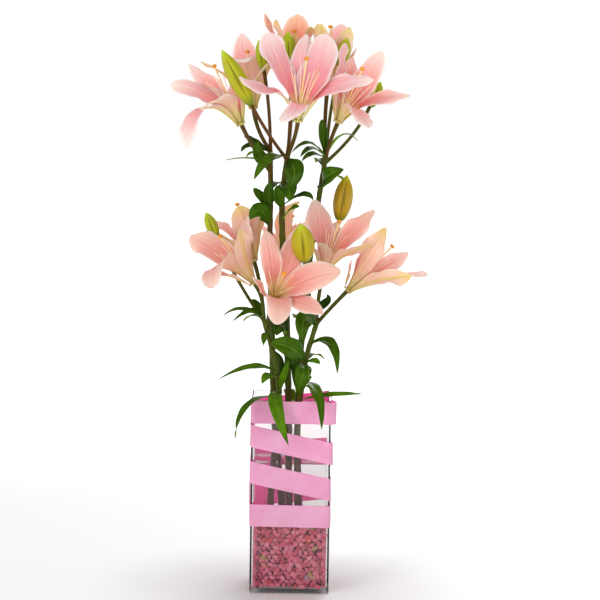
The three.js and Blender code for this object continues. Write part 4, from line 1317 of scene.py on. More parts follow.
@dataclass
class Bud:
    """A closed bud with three lobes, on the stalk of its stem."""

    number: int
    stem: int
    leaves_at: float
    base: tuple[float, float, float]
    tip: tuple[float, float, float]
    wide: float
    ripe: float

    def build(self, finishes: Finishes) -> list[bpy.types.Object]:
        """Makes the bud.

        The radius swells as a power of a sine along it and closes as a circle's arc at the tip.
        Three grooves cut in by a narrow bell round every third of a turn.

        Args:
            finishes: the materials by slot name.

        Returns:
            The bud's piece.
        """
        base, tip = np.asarray(self.base, dtype=float), np.asarray(self.tip, dtype=float)
        axis = unit(tip - base)
        length = float(np.linalg.norm(tip - base))
        side = FRONT if abs(axis[2]) > 0.8 else UP
        side = unit(side - axis * (side @ axis))
        other = np.cross(axis, side)
        u = np.sin(np.pi / 2 * np.linspace(0, 1, 34))[:, None]
        angle = around(42)[None, :]
        swell = 0.26 + 0.74 * np.sin(np.pi * clamp01(u) ** 0.88) ** 0.7
        past = np.maximum(u - BUD_CLOSES, 0) / BUD_TIP
        close = np.where(u > BUD_CLOSES, np.sqrt(np.maximum(0, 1 - past**2)), 1.0)
        radius = self.wide / 2 * np.maximum(0.06, swell * close)
        third = np.abs((angle / (2 * np.pi) * 3 + 0.5) % 1 - 0.5)
        groove = np.exp(-((third / 0.09) ** 2))
        ridge = 0.05 * np.cos(6 * angle)
        radius = radius * (1 - np.sin(np.pi * u) * (0.17 * groove + ridge)) * 1.03
        grid = base + length * u[..., None] * axis + (radius * np.cos(angle))[..., None] * side
        grid = grid + (radius * np.sin(angle))[..., None] * other
        uv = pairs(angle / (2 * np.pi), u)
        tint = tints(uv, self.ripe, groove * np.sin(np.pi * u) ** 0.5, 0.13 * self.number, 1.0)
        shells = Shells()
        shells.tube(grid, uv, tint, round_ends=True)
        piece = shells.piece(f"lily_bud_{self.number}")
        dress(piece, [finishes["bud"]], f"bud_{self.number}")
        return [piece]


BUDS = [
    Bud(1, 1, 546, (-54, -58, 614), (-91, -72, 681), 21, 0.35),
    Bud(2, 1, 552, (-8, 12, 662), (-11, 12, 706), 17, 0.1),
    Bud(3, 2, 548, (55, 24, 662), (64, 22, 699), 17, 0.3),
    Bud(4, 2, 540, (94, 34, 612), (108, 38, 644), 17, 0.0),
    Bud(5, 4, 338, (14, -59, 422), (9, -86, 470), 27, 0.6),
    Bud(6, 0, 325, (-98, 22, 444), (-112, 22, 476), 15, 0.1),
    Bud(7, 2, 440, (58, 42, 466), (67, 40, 525), 23, 1.0),
    Bud(8, 0, 556, (-40, -14, 656), (-47, -20, 694), 13, 0.0),
]


# ---- Stems and leaves -------------------------------------------------------------------------

# Leaves: how steeply the halves fold up, the place of the full width, and its share at the foot.
LEAF_FOLD = 0.32
LEAF_WIDEST = 0.38
LEAF_CLAW = 0.26
STALK_R = 2.5


@dataclass(frozen=True)
class Leaf:
    """A narrow leaf that arches from the middle of a stem past a point to its tip."""

    foot: Array
    over: Array
    tip: Array
    wide: float
    face: tuple[float, float, float]
    phase: float

    def build(self, shells: Shells, tone: float, seed: float) -> None:
        """Adds the leaf.

        Its middle line is a quadratic curve. The width rises by a smooth step and closes in a
        rounded power, the halves fold up by their distance from the midrib, and each margin is
        waved by a sine along the leaf.

        Args:
            shells: where it is added, in the second material.
            tone: how bright its green is, partly painted light.
            seed: its place in the vein noise.
        """
        u = np.linspace(0, 1, 26) ** 0.94
        half = np.array([0.0, 0.12, 0.35, 0.65, 1.0])
        v = np.concatenate([-half[:0:-1], half])
        line = bezier(self.foot, self.over, self.tip, u)
        along = unit((1 - u)[:, None] * (self.over - self.foot) + u[:, None] * (self.tip - self.over))
        up = np.array(self.face, dtype=float)
        face = unit(up - along * (along @ up)[:, None])
        across = np.cross(along, face)
        grow = LEAF_CLAW + (1 - LEAF_CLAW) * smooth(u / LEAF_WIDEST)
        t = clamp01((u - LEAF_WIDEST) / (1 - LEAF_WIDEST))
        width = self.wide / 2 * np.maximum(0.02, grow * np.maximum(0, 1 - t**2.1) ** 0.85)
        u2, v2, half = u[:, None], v[None, :], width[:, None]
        fold = LEAF_FOLD * (1 - 0.5 * u2) + 0.1 * np.sin(7 * u2 + self.phase + np.sign(v2))
        lift = half * np.abs(v2) * fold - 0.25 * np.exp(-((v2 / 0.1) ** 2))
        lift = lift + 0.05 * half * v2**2 * np.sin(23 * u2 + self.phase + 2 * np.sign(v2))
        middle = line[:, None] + (half * v2)[..., None] * across[:, None]
        middle = middle + lift[..., None] * face[:, None]
        normal = surface_normals(middle, face[:, None])
        thick = np.broadcast_to(0.75 - 0.35 * np.abs(v2) ** 2, middle.shape[:2])
        grid, places = blade_grid(middle, normal, v, thick)
        uv = pairs(places[:, 0], u2)
        shells.tube(grid, uv, tints(uv, places[:, 1], tone, seed, 1.0), slot=1)


@dataclass
class LeafyStem:
    """One cut stem with its flower stalks and leaves."""

    number: int
    path: Sequence[tuple[float, float, float]]
    radius: tuple[float, float]
    brown: float

    def at(self, z: float) -> Array:
        """The middle of the stem at a height."""
        line = spline(self.path, np.linspace(0, 1, 1200))
        return np.array([np.interp(z, line[:, 2], line[:, k]) for k in range(3)])

    def tube(self, shells: Shells) -> None:
        """The stem, slightly knobbly, with low scars where leaves sat.

        Args:
            shells: where it is added.
        """
        t = np.linspace(0, 1, 150)
        path = spline(self.path, t)
        radius = self.radius[0] + (self.radius[1] - self.radius[0]) * t
        angle = around(18)
        knob = 0.05 * np.sin(path[:, 2:] * 0.31 + 2.4 * np.sin(angle + self.number)) * np.cos(3 * angle)
        scar = 0.1 * np.exp(-(((path[:, 2:] / 17 + angle / (2 * np.pi) * 2) % 1 - 0.5) / 0.09) ** 2)
        scar = scar * np.cos(angle * 1.5 + path[:, 2:] * 0.2) ** 4
        grid = rings_along(path, radius[:, None] * (1 + knob + scar), 18)
        uv = pairs(np.arange(18) / 18, path[:, 2:] / 200)
        brown = self.brown * smooth((path[:, 2:] - 330) / 150)
        shells.tube(grid, uv, tints(uv, brown, 0.0, 0.2 * self.number, 1.0))

    def stalk(
        self, shells: Shells, start: float, end: Array, axis: Array, radius: float, brown: float
    ) -> None:
        """A flower stalk that leaves the stem in a bend and ends in line with what it carries.

        Args:
            shells: where it is added.
            start: the height at which it leaves the stem.
            end: the base of the bloom or bud.
            axis: the direction that the bloom or bud faces.
            radius: its radius.
            brown: how purple-brown it is.
        """
        foot = self.at(start)
        end = end - GAP * axis
        over = end - 0.45 * np.linalg.norm(end - foot) * axis
        t = np.linspace(0, 1, 30)
        path = bezier(foot, over, end, t)
        size = radius * (1 + 0.15 * smooth((t - 0.7) / 0.3) + 0.25 * (1 - smooth(t / 0.16)))
        angle = around(14)
        grid = rings_along(path, size[:, None] * (1 + 0.05 * np.cos(3 * angle)), 14)
        uv = pairs(np.arange(14) / 14, t[:, None] * 0.4)
        shells.tube(grid, uv, (brown, 0, 0.01 * (start % 97), 1))

    def build(self, finishes: Finishes, leaves: Sequence[Leaf]) -> list[bpy.types.Object]:
        """Makes the stem, the stalks of its blooms and buds, and its leaves as one piece.

        Args:
            finishes: the materials by slot name.
            leaves: its leaves.

        Returns:
            The stem's piece.
        """
        shells = Shells()
        self.tube(shells)
        mine = self.number - 1
        for bloom in (b for b in BLOOMS if b.stem == mine):
            brown = 0.75 if bloom.base[2] > 500 else 0.25
            base = np.array(bloom.base, float)
            self.stalk(shells, bloom.leaves_at, base, unit(bloom.axis), STALK_R, brown)
        for bud in (b for b in BUDS if b.stem == mine):
            base, tip = np.array(bud.base, float), np.array(bud.tip, float)
            brown = 0.95 if bud.base[2] > 500 and bud.stem < 2 else 0.3
            self.stalk(shells, bud.leaves_at, base, unit(tip - base), STALK_R * 0.85, brown)
        draw = Draw(29 * self.number + 3)
        for leaf in leaves:
            # painted light: low, narrow leaves start from a bright tone as if lit, the others from a dark one
            # as if in the bunch's shade; a random share is added to each
            painted_lit = leaf.foot[2] < 300 and leaf.wide <= 18
            leaf.build(shells, (0.5 if painted_lit else 0.05) + 0.45 * draw(), draw())
        piece = shells.piece(f"leafy_stem_{self.number}")
        dress(piece, [finishes["stem"], finishes["leaf"]], f"stem_{self.number}")
        return [piece]


STEMS = [
    LeafyStem(1, [(-6, 14, 26), (-12, 13, 126), (-21, 10, 209), (-27, 4, 350), (-30, 1, 440), (-30, 3, 500),
                  (-31, 6, 556)], (4.6, 3.2), 0.7),
    LeafyStem(2, [(3, -3, 26), (-2, -3, 126), (-3, -1, 209), (-8, 0, 350), (-14, 0, 440), (-15, -4, 500),
                  (-9, -10, 552)], (4.8, 3.4), 0.45),
    LeafyStem(3, [(15, 12, 26), (10, 13, 126), (8, 15, 209), (14, 28, 350), (24, 39, 440), (32, 38, 500),
                  (39, 21, 548)], (4.6, 3.2), 0.2),
    LeafyStem(4, [(-29, -9, 26), (-24, -12, 126), (-18, -14, 209), (-16, -18, 256), (-25, -21, 306),
                  (-37, -17, 346)], (4.4, 3.0), 0.0),
    LeafyStem(5, [(12, -14, 26), (9, -14, 126), (8, -13, 209), (12, -14, 256), (18, -12, 296),
                  (30, -4, 338)], (4.4, 3.2), 0.0),
]

# Leaves set one by one: stem, height of the foot, the point arched over, tip, width, and the way
# the upper face looks where that isn't up.
LEAVES = [
    (3, 247, (-67, -91, 259), (-69, -80, 201), 13),
    (3, 250, (-29, -86, 264), (-3, -74, 194), 18, (0, -1, 0.5)),
    (4, 264, (38, -71, 278), (38, -76, 214), 15, (0.5, -1, 0.5)),
    (4, 242, (54, -38, 256), (90, -30, 253), 9, (0, -0.6, 1)),
    (3, 276, (-42, -40, 300), (-92, -36, 270), 11, (0, -0.5, 1)),
    (4, 313, (57, -37, 335), (57, -36, 279), 17, (0.6, -0.8, 0.6)),
    (4, 294, (-6, -57, 321), (-27, -50, 317), 26, (0, -1, 0.3)),
    (4, 338, (7, -57, 366), (14, -50, 318), 23, (0, -1, 0.1)),
    (3, 346, (-50, -17, 365), (-75, -20, 342), 11, (0, -0.5, 1)),
    (3, 346, (-66, 3, 365), (-88, -4, 347), 8, (0, -0.5, 1)),
    (3, 346, (-47, -4, 371), (-55, -14, 366), 9, (0, -0.7, 1)),
    (3, 327, (-35, -39, 331), (-36, -38, 313), 10),
    (3, 272, (-32, -53, 283), (-37, -50, 267), 13, (0, -0.7, 1)),
    (4, 288, (16, -71, 292), (7, -30, 246), 20, (0, -1, 0.2)),
    (4, 290, (29, -29, 297), (36, -26, 290), 10, (0, -0.8, 1)),
    (1, 326, (-15, -35, 349), (-20, -34, 326), 22, (0, -1, 0.3)),
    (2, 348, (53, 14, 364), (43, 16, 374), 11, (0, -1, 0.2)),
    (4, 278, (25, -59, 288), (21, -52, 270), 10, (1, -1, 0)),
    (1, 319, (-1, -32, 307), (3, -24, 278), 20, (0, -1, 0.2)),
    (0, 303, (-15, -13, 290), (-13, -4, 254), 16, (0, -1, 0.2)),
    (2, 294, (7, 26, 279), (6, 22, 250), 17, (0, -1, 0.2)),
    (3, 255, (-10, -35, 277), (-4, -32, 295), 9, (0, -1, 0.1)), (2, 253, (31, 41, 264), (34, 36, 203), 15),
    (1, 250, (-5, 39, 258), (6, 34, 199), 15), (0, 556, (-63, -7, 572), (-63, -8, 576), 12, (0, -0.8, 1)),
    (0, 554, (-62, 14, 570), (-68, 14, 554), 11, (0, -0.8, 1)),
    (0, 537, (-51, -25, 550), (-46, -18, 569), 16, (0, -1, 0.2)),
    (1, 549, (-35, -58, 558), (-50, -50, 522), 17, (-0.5, -1, 0.5)),
    (0, 541, (-59, 12, 550), (-87, 18, 543), 7), (0, 484, (-35, -21, 503), (-29, -16, 519), 15, (0, -1, 0.1)),
    (0, 486, (-47, -14, 503), (-51, -14, 510), 12, (0, -1, 0.5)),
    (0, 461, (-42, -16, 496), (-56, -18, 470), 22, (0, -1, 0.4)),
    (1, 545, (8, -45, 538), (-7, -36, 509), 25, (0, -1, 0.2)),
    (1, 515, (-6, -48, 518), (-6, -42, 496), 24, (0, -1, 0.5)),
    (1, 484, (-21, -22, 501), (-22, -18, 514), 13, (0, -1, 0.2)),
    (1, 487, (17, -30, 513), (24, -26, 496), 12, (0, -0.6, 1)),
    (1, 469, (-4, -29, 489), (7, -28, 488), 12, (0, -0.8, 1)),
    (2, 548, (18, -27, 582), (-4, -16, 555), 9, (0, -0.6, 1)),
    (2, 548, (20, -19, 571), (7, -24, 550), 11, (0, -0.6, 1)),
    (2, 547, (19, -9, 559), (9, -4, 544), 11, (0, -0.6, 1)),
    (2, 508, (34, -10, 527), (62, 0, 534), 25, (0, -1, 0.6)), (2, 548, (59, 9, 594), (79, 8, 570), 9),
    (2, 548, (33, 5, 591), (34, 9, 596), 11, (0, -1, 0.1)), (2, 447, (50, 37, 463), (55, 46, 445), 12),
]

# Leaves set by rule, as whorl() takes them.
WHORLS = [
    (0, 300, 328, 2, 120, 60, 44, 14, 3), (2, 280, 330, 2, 75, 60, 44, 14, 7),
    (0, 506, 540, 2, 110, 70, 44, 14, 9), (2, 506, 534, 2, 75, 60, 44, 14, 13),
]


def whorl(
    stem: int, low: float, high: float, count: int, toward: float, spread: float, length: float,
    wide: float, seed: int,
) -> list[tuple]:
    """Leaves set round a stem by rule, spread to both sides of a middle direction in degrees.

    Args:
        stem: the stem's place in the list.
        low: height of the first leaf.
        high: height of the last.
        count: how many.
        toward: the middle direction.
        spread: how far apart the two sides are.
        length: of a leaf.
        wide: its width.
        seed: of its own draws.

    Returns:
        Rows like those of the leaves set one by one.
    """
    draw = Draw(seed * 977)
    rows = []
    for i in range(count):
        z = low + (high - low) * i / (count - 1)
        share = i % 2 - 0.5
        turn = math.radians(toward + spread * (share + 0.2 * (draw() - 0.5)))
        reach = length * (0.85 + 0.3 * draw())
        rise = reach * (0.35 + 0.3 * draw())
        foot = STEMS[stem].at(z)
        out = np.array([math.cos(turn), math.sin(turn), 0])
        over = foot + out * reach * 0.5 + [0, 0, rise]
        tip = foot + out * reach * 0.9 + [0, 0, rise * 0.3]
        rows.append((stem, z, over, tip, wide * (0.85 + 0.3 * draw())))
    return rows


def leaves_of(stem: int) -> list[Leaf]:
    """Every leaf of a stem, those set one by one and those set by rule.

    Args:
        stem: the stem's place in the list.

    Returns:
        Its leaves, in order.
    """
    rows = LEAVES + [row for rule in WHORLS for row in whorl(*rule)]
    leaves = []
    for k, z, over, tip, wide, *face in rows:
        if k == stem:
            ends = np.array(over, float), np.array(tip, float)
            leaves.append(Leaf(STEMS[k].at(z), *ends, wide, face[0] if face else (0, 0, 1), z * 0.1))
    return leaves


# ---- Vase, pebbles, water and ribbon ----------------------------------------------------------


def square_ring(half: Array, corner: Array, z: Array, steps: int = 9) -> Array:
    """Rings of a square with rounded corners: four quarter circles joined by straight sides.

    Args:
        half: half the width of each ring.
        corner: its corner radius.
        z: its height.
        steps: points in each corner, less one.

    Returns:
        Rings by points by three.
    """
    rings = np.broadcast_arrays(half, corner, z)
    half, corner, z = (np.asarray(ring, dtype=float).reshape(-1, 1) for ring in rings)
    turn = np.pi / 2 * (np.repeat(np.arange(4), steps + 1) + np.tile(np.arange(steps + 1) / steps, 4))
    sx = np.repeat([1.0, -1, -1, 1], steps + 1)
    sy = np.repeat([1.0, 1, -1, -1], steps + 1)
    x = (half - corner) * sx + corner * np.cos(turn)
    y = (half - corner) * sy + corner * np.sin(turn)
    return np.stack([x, y, np.broadcast_to(z, x.shape)], axis=-1)


@dataclass
class GlassVase:
    """The square vase: thick walls and foot, softened edges, an inner floor that swells upward."""

    width: float = VASE_WIDTH
    height: float = 246.0
    wall: float = 3.0
    floor: float = 6.0
    corner: float = VASE_CORNER
    inner_corner: float = 3.0
    dome: float = 5.0
    bevel: float = 1.6
    cove: float = 4.0

    def build(self, finishes: Finishes) -> list[bpy.types.Object]:
        """Makes the glass as one closed surface.

        From the foot, the profile rounds out to the wall as a quarter circle, runs up, rounds over
        the rim, goes down the inner wall, and rounds into a floor that turns from a square into a
        circle and rises to the middle by a cosine.

        Args:
            finishes: the materials by slot name.

        Returns:
            The vase's piece.
        """
        half, inside = self.width / 2, self.width / 2 - self.wall
        t = np.linspace(0, np.pi / 2, 6)
        cut = self.bevel * (1 - np.sin(t))
        foot = square_ring(half - cut, self.corner - cut, self.bevel * (1 - np.cos(t)))
        walls = square_ring(half, self.corner, np.linspace(8, self.height - 8, 7))
        t = np.linspace(0, np.pi, 11)
        middle, rim = half - self.wall / 2, self.wall / 2
        round_over = middle + rim * np.cos(t)
        corners = self.inner_corner + (round_over - inside) / 2
        rims = square_ring(round_over, corners, self.height - 1.0 + np.sin(t))
        heights = np.linspace(self.height - 8, self.floor + 10, 6)
        inner = square_ring(inside, self.inner_corner, heights)
        t = np.linspace(0, np.pi / 2, 6)
        heights = self.floor + self.cove - self.cove * np.sin(t)
        cove = square_ring(inside - self.cove * (1 - np.cos(t)), self.inner_corner, heights)
        f = np.linspace(1, 0.04, 14)[1:, None, None]
        edge = square_ring(inside - self.cove, self.inner_corner, self.floor)[0]
        circle = np.hypot(edge[:, 0], edge[:, 1])[:, None]
        disc = edge[:, :2] / circle * (inside - self.cove)
        spread = f * (f**2 * edge[:, :2] + (1 - f**2) * disc)
        rise = self.floor + self.dome * 0.5 * (1 + np.cos(np.pi * f)) * np.ones((1, len(edge), 1))
        bottom = np.concatenate([spread, rise], axis=2)
        grid = np.concatenate([foot, walls, rims, inner, cove, bottom])
        shells = Shells()
        shells.tube(grid, (0.0, 0.0), (0, 0, 0, 1), round_ends=True)
        piece = shells.piece("glass_vase", smooth_angle=40)
        dress(piece, [finishes["glass"]], "vase")
        return [piece]


@dataclass
class Water:
    """The water above the pebbles, with a small rise where it meets the glass."""

    half: float = INNER_HALF
    corner: float = INNER_CORNER
    low: float = 90.0
    high: float = WATER_TOP
    rise: float = 0.9

    def build(self, finishes: Finishes) -> list[bpy.types.Object]:
        """Makes the water as a closed block whose top edge curls up by a power of nearness to the glass.

        Args:
            finishes: the materials by slot name.

        Returns:
            The water's piece.
        """
        heights = [self.low, self.low + 4, self.high - 4, self.high + self.rise]
        low = square_ring(self.half, self.corner, heights)
        s = np.linspace(0, 1, 7)[1:]
        top = square_ring(self.half - 3.5 * s, self.corner, self.high + self.rise * (1 - s) ** 2.4)
        shells = Shells()
        shells.tube(np.concatenate([low, top]), (0.0, 0.0), (0, 0, 0, 1), round_ends=True)
        piece = shells.piece("clear_water", smooth_angle=35)
        dress(piece, [finishes["water"]], "water")
        return [piece]


def icosahedron() -> tuple[Array, Array]:
    """Corners and faces of an icosahedron.

    Returns:
        Twelve unit corners and twenty faces.
    """
    g = (1 + 5**0.5) / 2
    corners = [
        (-1, g, 0), (1, g, 0), (-1, -g, 0), (1, -g, 0), (0, -1, g), (0, 1, g),
        (0, -1, -g), (0, 1, -g), (g, 0, -1), (g, 0, 1), (-g, 0, -1), (-g, 0, 1),
    ]
    faces = [
        (0, 11, 5), (0, 5, 1), (0, 1, 7), (0, 7, 10), (0, 10, 11), (1, 5, 9), (5, 11, 4),
        (11, 10, 2), (10, 7, 6), (7, 1, 8), (3, 9, 4), (3, 4, 2), (3, 2, 6), (3, 6, 8),
        (3, 8, 9), (4, 9, 5), (2, 4, 11), (6, 2, 10), (8, 6, 7), (9, 8, 1),
    ]
    return unit(np.array(corners, dtype=float)), np.array(faces)


@dataclass
class PebbleBed:
    """The bed of small pebbles: chips in two layers on every side and the top, round a core that is dark with
    painted shade.
    """

    half: float = INNER_HALF
    low: float = 6.4
    high: float = 92.0
    step: float = 7.2
    depths: tuple[float, float] = (3.0, 7.4)
    dome: tuple[float, float] = (36.0, 12.5)
    core: float = 8.5
    seed: int = 5

    def spots(self, rng: np.random.Generator) -> tuple[Array, Array, Array]:
        """Jittered rows of spots on the four sides and the top, in two layers.

        Args:
            rng: the source of the jitter.

        Returns:
            The places, the way out to the glass or the top at each, and its layer, 0 or 1.
        """
        places, outs, layers = [], [], []
        for layer, depth in enumerate(self.depths):
            across = np.arange(-self.half + 3.6, self.half - 2, self.step)
            rows = np.arange(self.low + 3, self.high - 2, self.step * 0.74)
            x, z = np.meshgrid(across, rows)
            x = x + ((np.arange(len(rows)) + layer) % 2)[:, None] * self.step / 2
            for turn in range(4):
                jitter = rng.uniform(-1.3, 1.3, (2, *x.shape))
                a = np.clip(x + jitter[0], -self.half + 2.6, self.half - 2.6)
                out = np.array([math.cos(turn * math.pi / 2), math.sin(turn * math.pi / 2), 0])
                side = np.array([-out[1], out[0], 0])
                height = (z + jitter[1])[..., None] * UP
                spot = out * (self.half - depth) + a[..., None] * side + height
                places.append(spot.reshape(-1, 3))
                outs.append(np.broadcast_to(out, spot.shape).reshape(-1, 3))
            x, y = np.meshgrid(across, across)
            jitter = rng.uniform(-1.6, 1.6, (3, *x.shape))
            height = self.high - 2.0 - layer * 4 + 0.6 * jitter[2]
            top = np.stack([x + jitter[0], y + jitter[1], height], axis=-1)
            top[..., :2] = np.clip(top[..., :2], -self.half + 4, self.half - 4)
            places.append(top.reshape(-1, 3))
            outs.append(np.broadcast_to(UP, top.shape).reshape(-1, 3))
            layers.append(np.full(sum(map(len, places)) - sum(map(len, layers)), float(layer)))
        return np.vstack(places), np.vstack(outs), np.concatenate(layers)

    def build(self, finishes: Finishes) -> list[bpy.types.Object]:
        """Makes the chips and the core.

        Each chip is an icosahedron whose corners are pulled in or out at random. It lies flat
        against the glass or the top: its shortest radius points out, and the two others are
        turned about it at random. All are held inside the glass and above the swelling floor.

        Args:
            finishes: the materials by slot name.

        Returns:
            The pebbles' piece.
        """
        rng = np.random.default_rng(self.seed)
        spots, outs, layers = self.spots(rng)
        n = len(spots)
        corners, faces = icosahedron()
        spin, _ = np.linalg.qr(rng.normal(size=(n, 3, 3)))
        shape = np.einsum("nij,kj->nki", spin, corners) * rng.uniform(0.84, 1.16, (n, 12, 1))
        like = np.where(np.abs(outs[:, 2:]) > 0.5, [[1.0, 0, 0]], [[0.0, 0, 1]])
        side = np.cross(outs, like)
        angle = rng.uniform(0, np.pi, (n, 1))
        first = np.cos(angle) * side + np.sin(angle) * like + 0.3 * rng.uniform(-1, 1, (n, 1)) * outs
        second = np.cross(outs, unit(first))
        axes = np.stack([unit(first), unit(second), outs], axis=1)
        ranges = ((3.6, 5.8), (2.9, 4.1), (2.6, 3.3))
        size = np.stack([rng.uniform(low, high, n) for low, high in ranges], axis=1)
        chips = np.einsum("nki,nij->nkj", shape * size[:, None], axes) + spots[:, None]
        chips[..., :2] = np.clip(chips[..., :2], -self.half, self.half)
        chips[..., 2] = np.clip(chips[..., 2], self.low, self.high + 0.6)
        over = np.hypot(chips[..., 0], chips[..., 1]) < self.dome[0]
        chips[..., 2] = np.where(over, np.maximum(chips[..., 2], self.dome[1]), chips[..., 2])
        tint = np.ones((n, 12, 4))
        # The third tint number is the layer; the finish paints shade on the layer behind.
        tint[..., 0], tint[..., 1], tint[..., 2] = rng.random((n, 1)), rng.random((n, 1)), layers[:, None]
        ids = (faces[None] + 12 * np.arange(n)[:, None, None]).reshape(-1, 3)
        shells = Shells()
        shells.add(chips.reshape(-1, 3), [ids], np.zeros((12 * n, 2)), tint.reshape(-1, 4))
        # The core: a block behind the chips that the finish fills with painted shade.
        heights = [self.low + 8.4, self.low + 9, self.high - 9, self.high - 8]
        core = square_ring(self.half - self.core, 3.0, heights)
        shells.tube(core, (0.0, 0.0), (0.8, 0.0, 1.0, 1), round_ends=True)
        piece = shells.piece("dyed_pebbles", smooth_angle=48)
        dress(piece, [finishes["gravel"]], "gravel")
        return [piece]


@dataclass
class SatinRibbon:
    """One strip of satin wound round the vase from the rim down, a little loose at three corners.

    Each row of turns is a count of quarter turns and the height there. Each bulge is its place,
    its reach to both sides and how far it stands off.
    """

    width: float = 28.0
    thick: float = 0.5
    off: float = 0.8
    vase: float = VASE_WIDTH
    corner: float = VASE_CORNER
    bend: float = 0.06
    turns: Sequence[tuple[float, float]] = (
        (-0.35, 231), (0, 231), (1, 231), (2, 231), (3, 221), (4, 201), (5, 179.5), (6, 171), (7, 163),
        (8, 155), (9, 133.5), (10, 123), (11, 112), (12, 100.3), (13, 99.2), (13.4, 99),
    )
    bulges: Sequence[tuple[float, float, float]] = (
        (1.03, 0.2, 6.0), (5.02, 0.12, 2.4), (11.0, 0.14, 3.4),
    )

    def line(self, s: Array) -> tuple[Array, Array]:
        """The ribbon's middle line and outward direction by quarter turns passed.

        Along each side it runs straight, and at a corner it swings through the quarter circle of
        the corner. Its height runs in straight stretches between the corners' heights.

        Args:
            s: quarter turns passed.

        Returns:
            Points and outward directions.
        """
        corners, heights = np.array(self.turns).T
        z = np.interp(s, corners, heights)
        quarter = np.floor(s)
        run = s - quarter
        flat = self.vase / 2 - self.corner
        bend, leave = self.bend, 1 - self.bend
        along = flat * clamp01((run - bend) / (leave - bend)) * 2 - flat
        leaving = np.where(run > leave, (run - leave) / bend * 45, 0.0)
        swing = np.where(run < bend, (run / bend - 1) * 45, leaving)
        loose = (high * (1 - smooth(np.abs(s - at) / reach)) for at, reach, high in self.bulges)
        out = self.off + sum(loose)
        turn, base = np.radians(90 * quarter + swing), np.radians(90 * quarter)
        normal = np.stack([np.sin(turn), -np.cos(turn), 0 * turn], axis=-1)
        straight = np.stack([np.sin(base), -np.cos(base), 0 * base], axis=-1)
        side = np.stack([np.cos(base), np.sin(base), 0 * base], axis=-1)
        points = straight * flat + side * along[:, None] + normal * (self.corner + out)[:, None]
        return points + z[:, None] * UP, normal

    def build(self, finishes: Finishes) -> list[bpy.types.Object]:
        """Args:
            finishes: the materials by slot name.

        Returns:
            The ribbon's piece.
        """
        first, last = self.turns[0][0], self.turns[-1][0]
        quarters = np.arange(math.floor(first), math.ceil(last))[:, None]
        bend, leave = self.bend, 1 - self.bend
        straight = np.linspace(bend, leave, 31)[1:]
        stops = np.concatenate([np.linspace(0, bend, 7), straight, np.linspace(leave, 1, 7)[1:-1]])
        s = (quarters + stops).ravel()
        s = np.concatenate([[first], s[(s > first) & (s < last)], [last]])
        path, normal = self.line(s)
        v = np.linspace(-1, 1, 13)
        s2, v2 = s[:, None], v[None, :]
        ripple = 0.22 * np.sin(9 * s2 + 2.2 * v2) * np.sin(3.1 * s2 + 1) + 0.16 * v2**2 * np.sin(23 * s2)
        ripple = np.maximum(ripple + 0.1, -0.2)
        middle = path[:, None] + self.width / 2 * v2[..., None] * UP
        middle = middle + ripple[..., None] * normal[:, None]
        like = np.broadcast_to(normal[:, None], middle.shape)
        thick = np.full(middle.shape[:2], self.thick)
        grid, places = blade_grid(middle, like, v, thick)
        length = np.concatenate([[0], np.cumsum(np.linalg.norm(np.diff(path, axis=0), axis=1))])
        uv = pairs(places[:, 0], (length / self.width)[:, None])
        shells = Shells()
        shells.tube(grid, uv, tints(uv, places[:, 1], 0.0, 0.0, 1.0))
        piece = shells.piece("satin_ribbon", smooth_angle=50)
        dress(piece, [finishes["ribbon"]], "ribbon")
        LOG.info("ribbon length %.0f mm", length[-1])
        return [piece]


# ---- Studio -----------------------------------------------------------------------------------


def dress(piece: bpy.types.Object, materials: Sequence[bpy.types.Material], node: str) -> None:
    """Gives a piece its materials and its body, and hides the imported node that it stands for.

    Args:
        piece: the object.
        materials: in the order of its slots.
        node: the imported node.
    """
    for material in materials:
        piece.data.materials.append(material)
    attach(piece, "root")
    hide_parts(node)


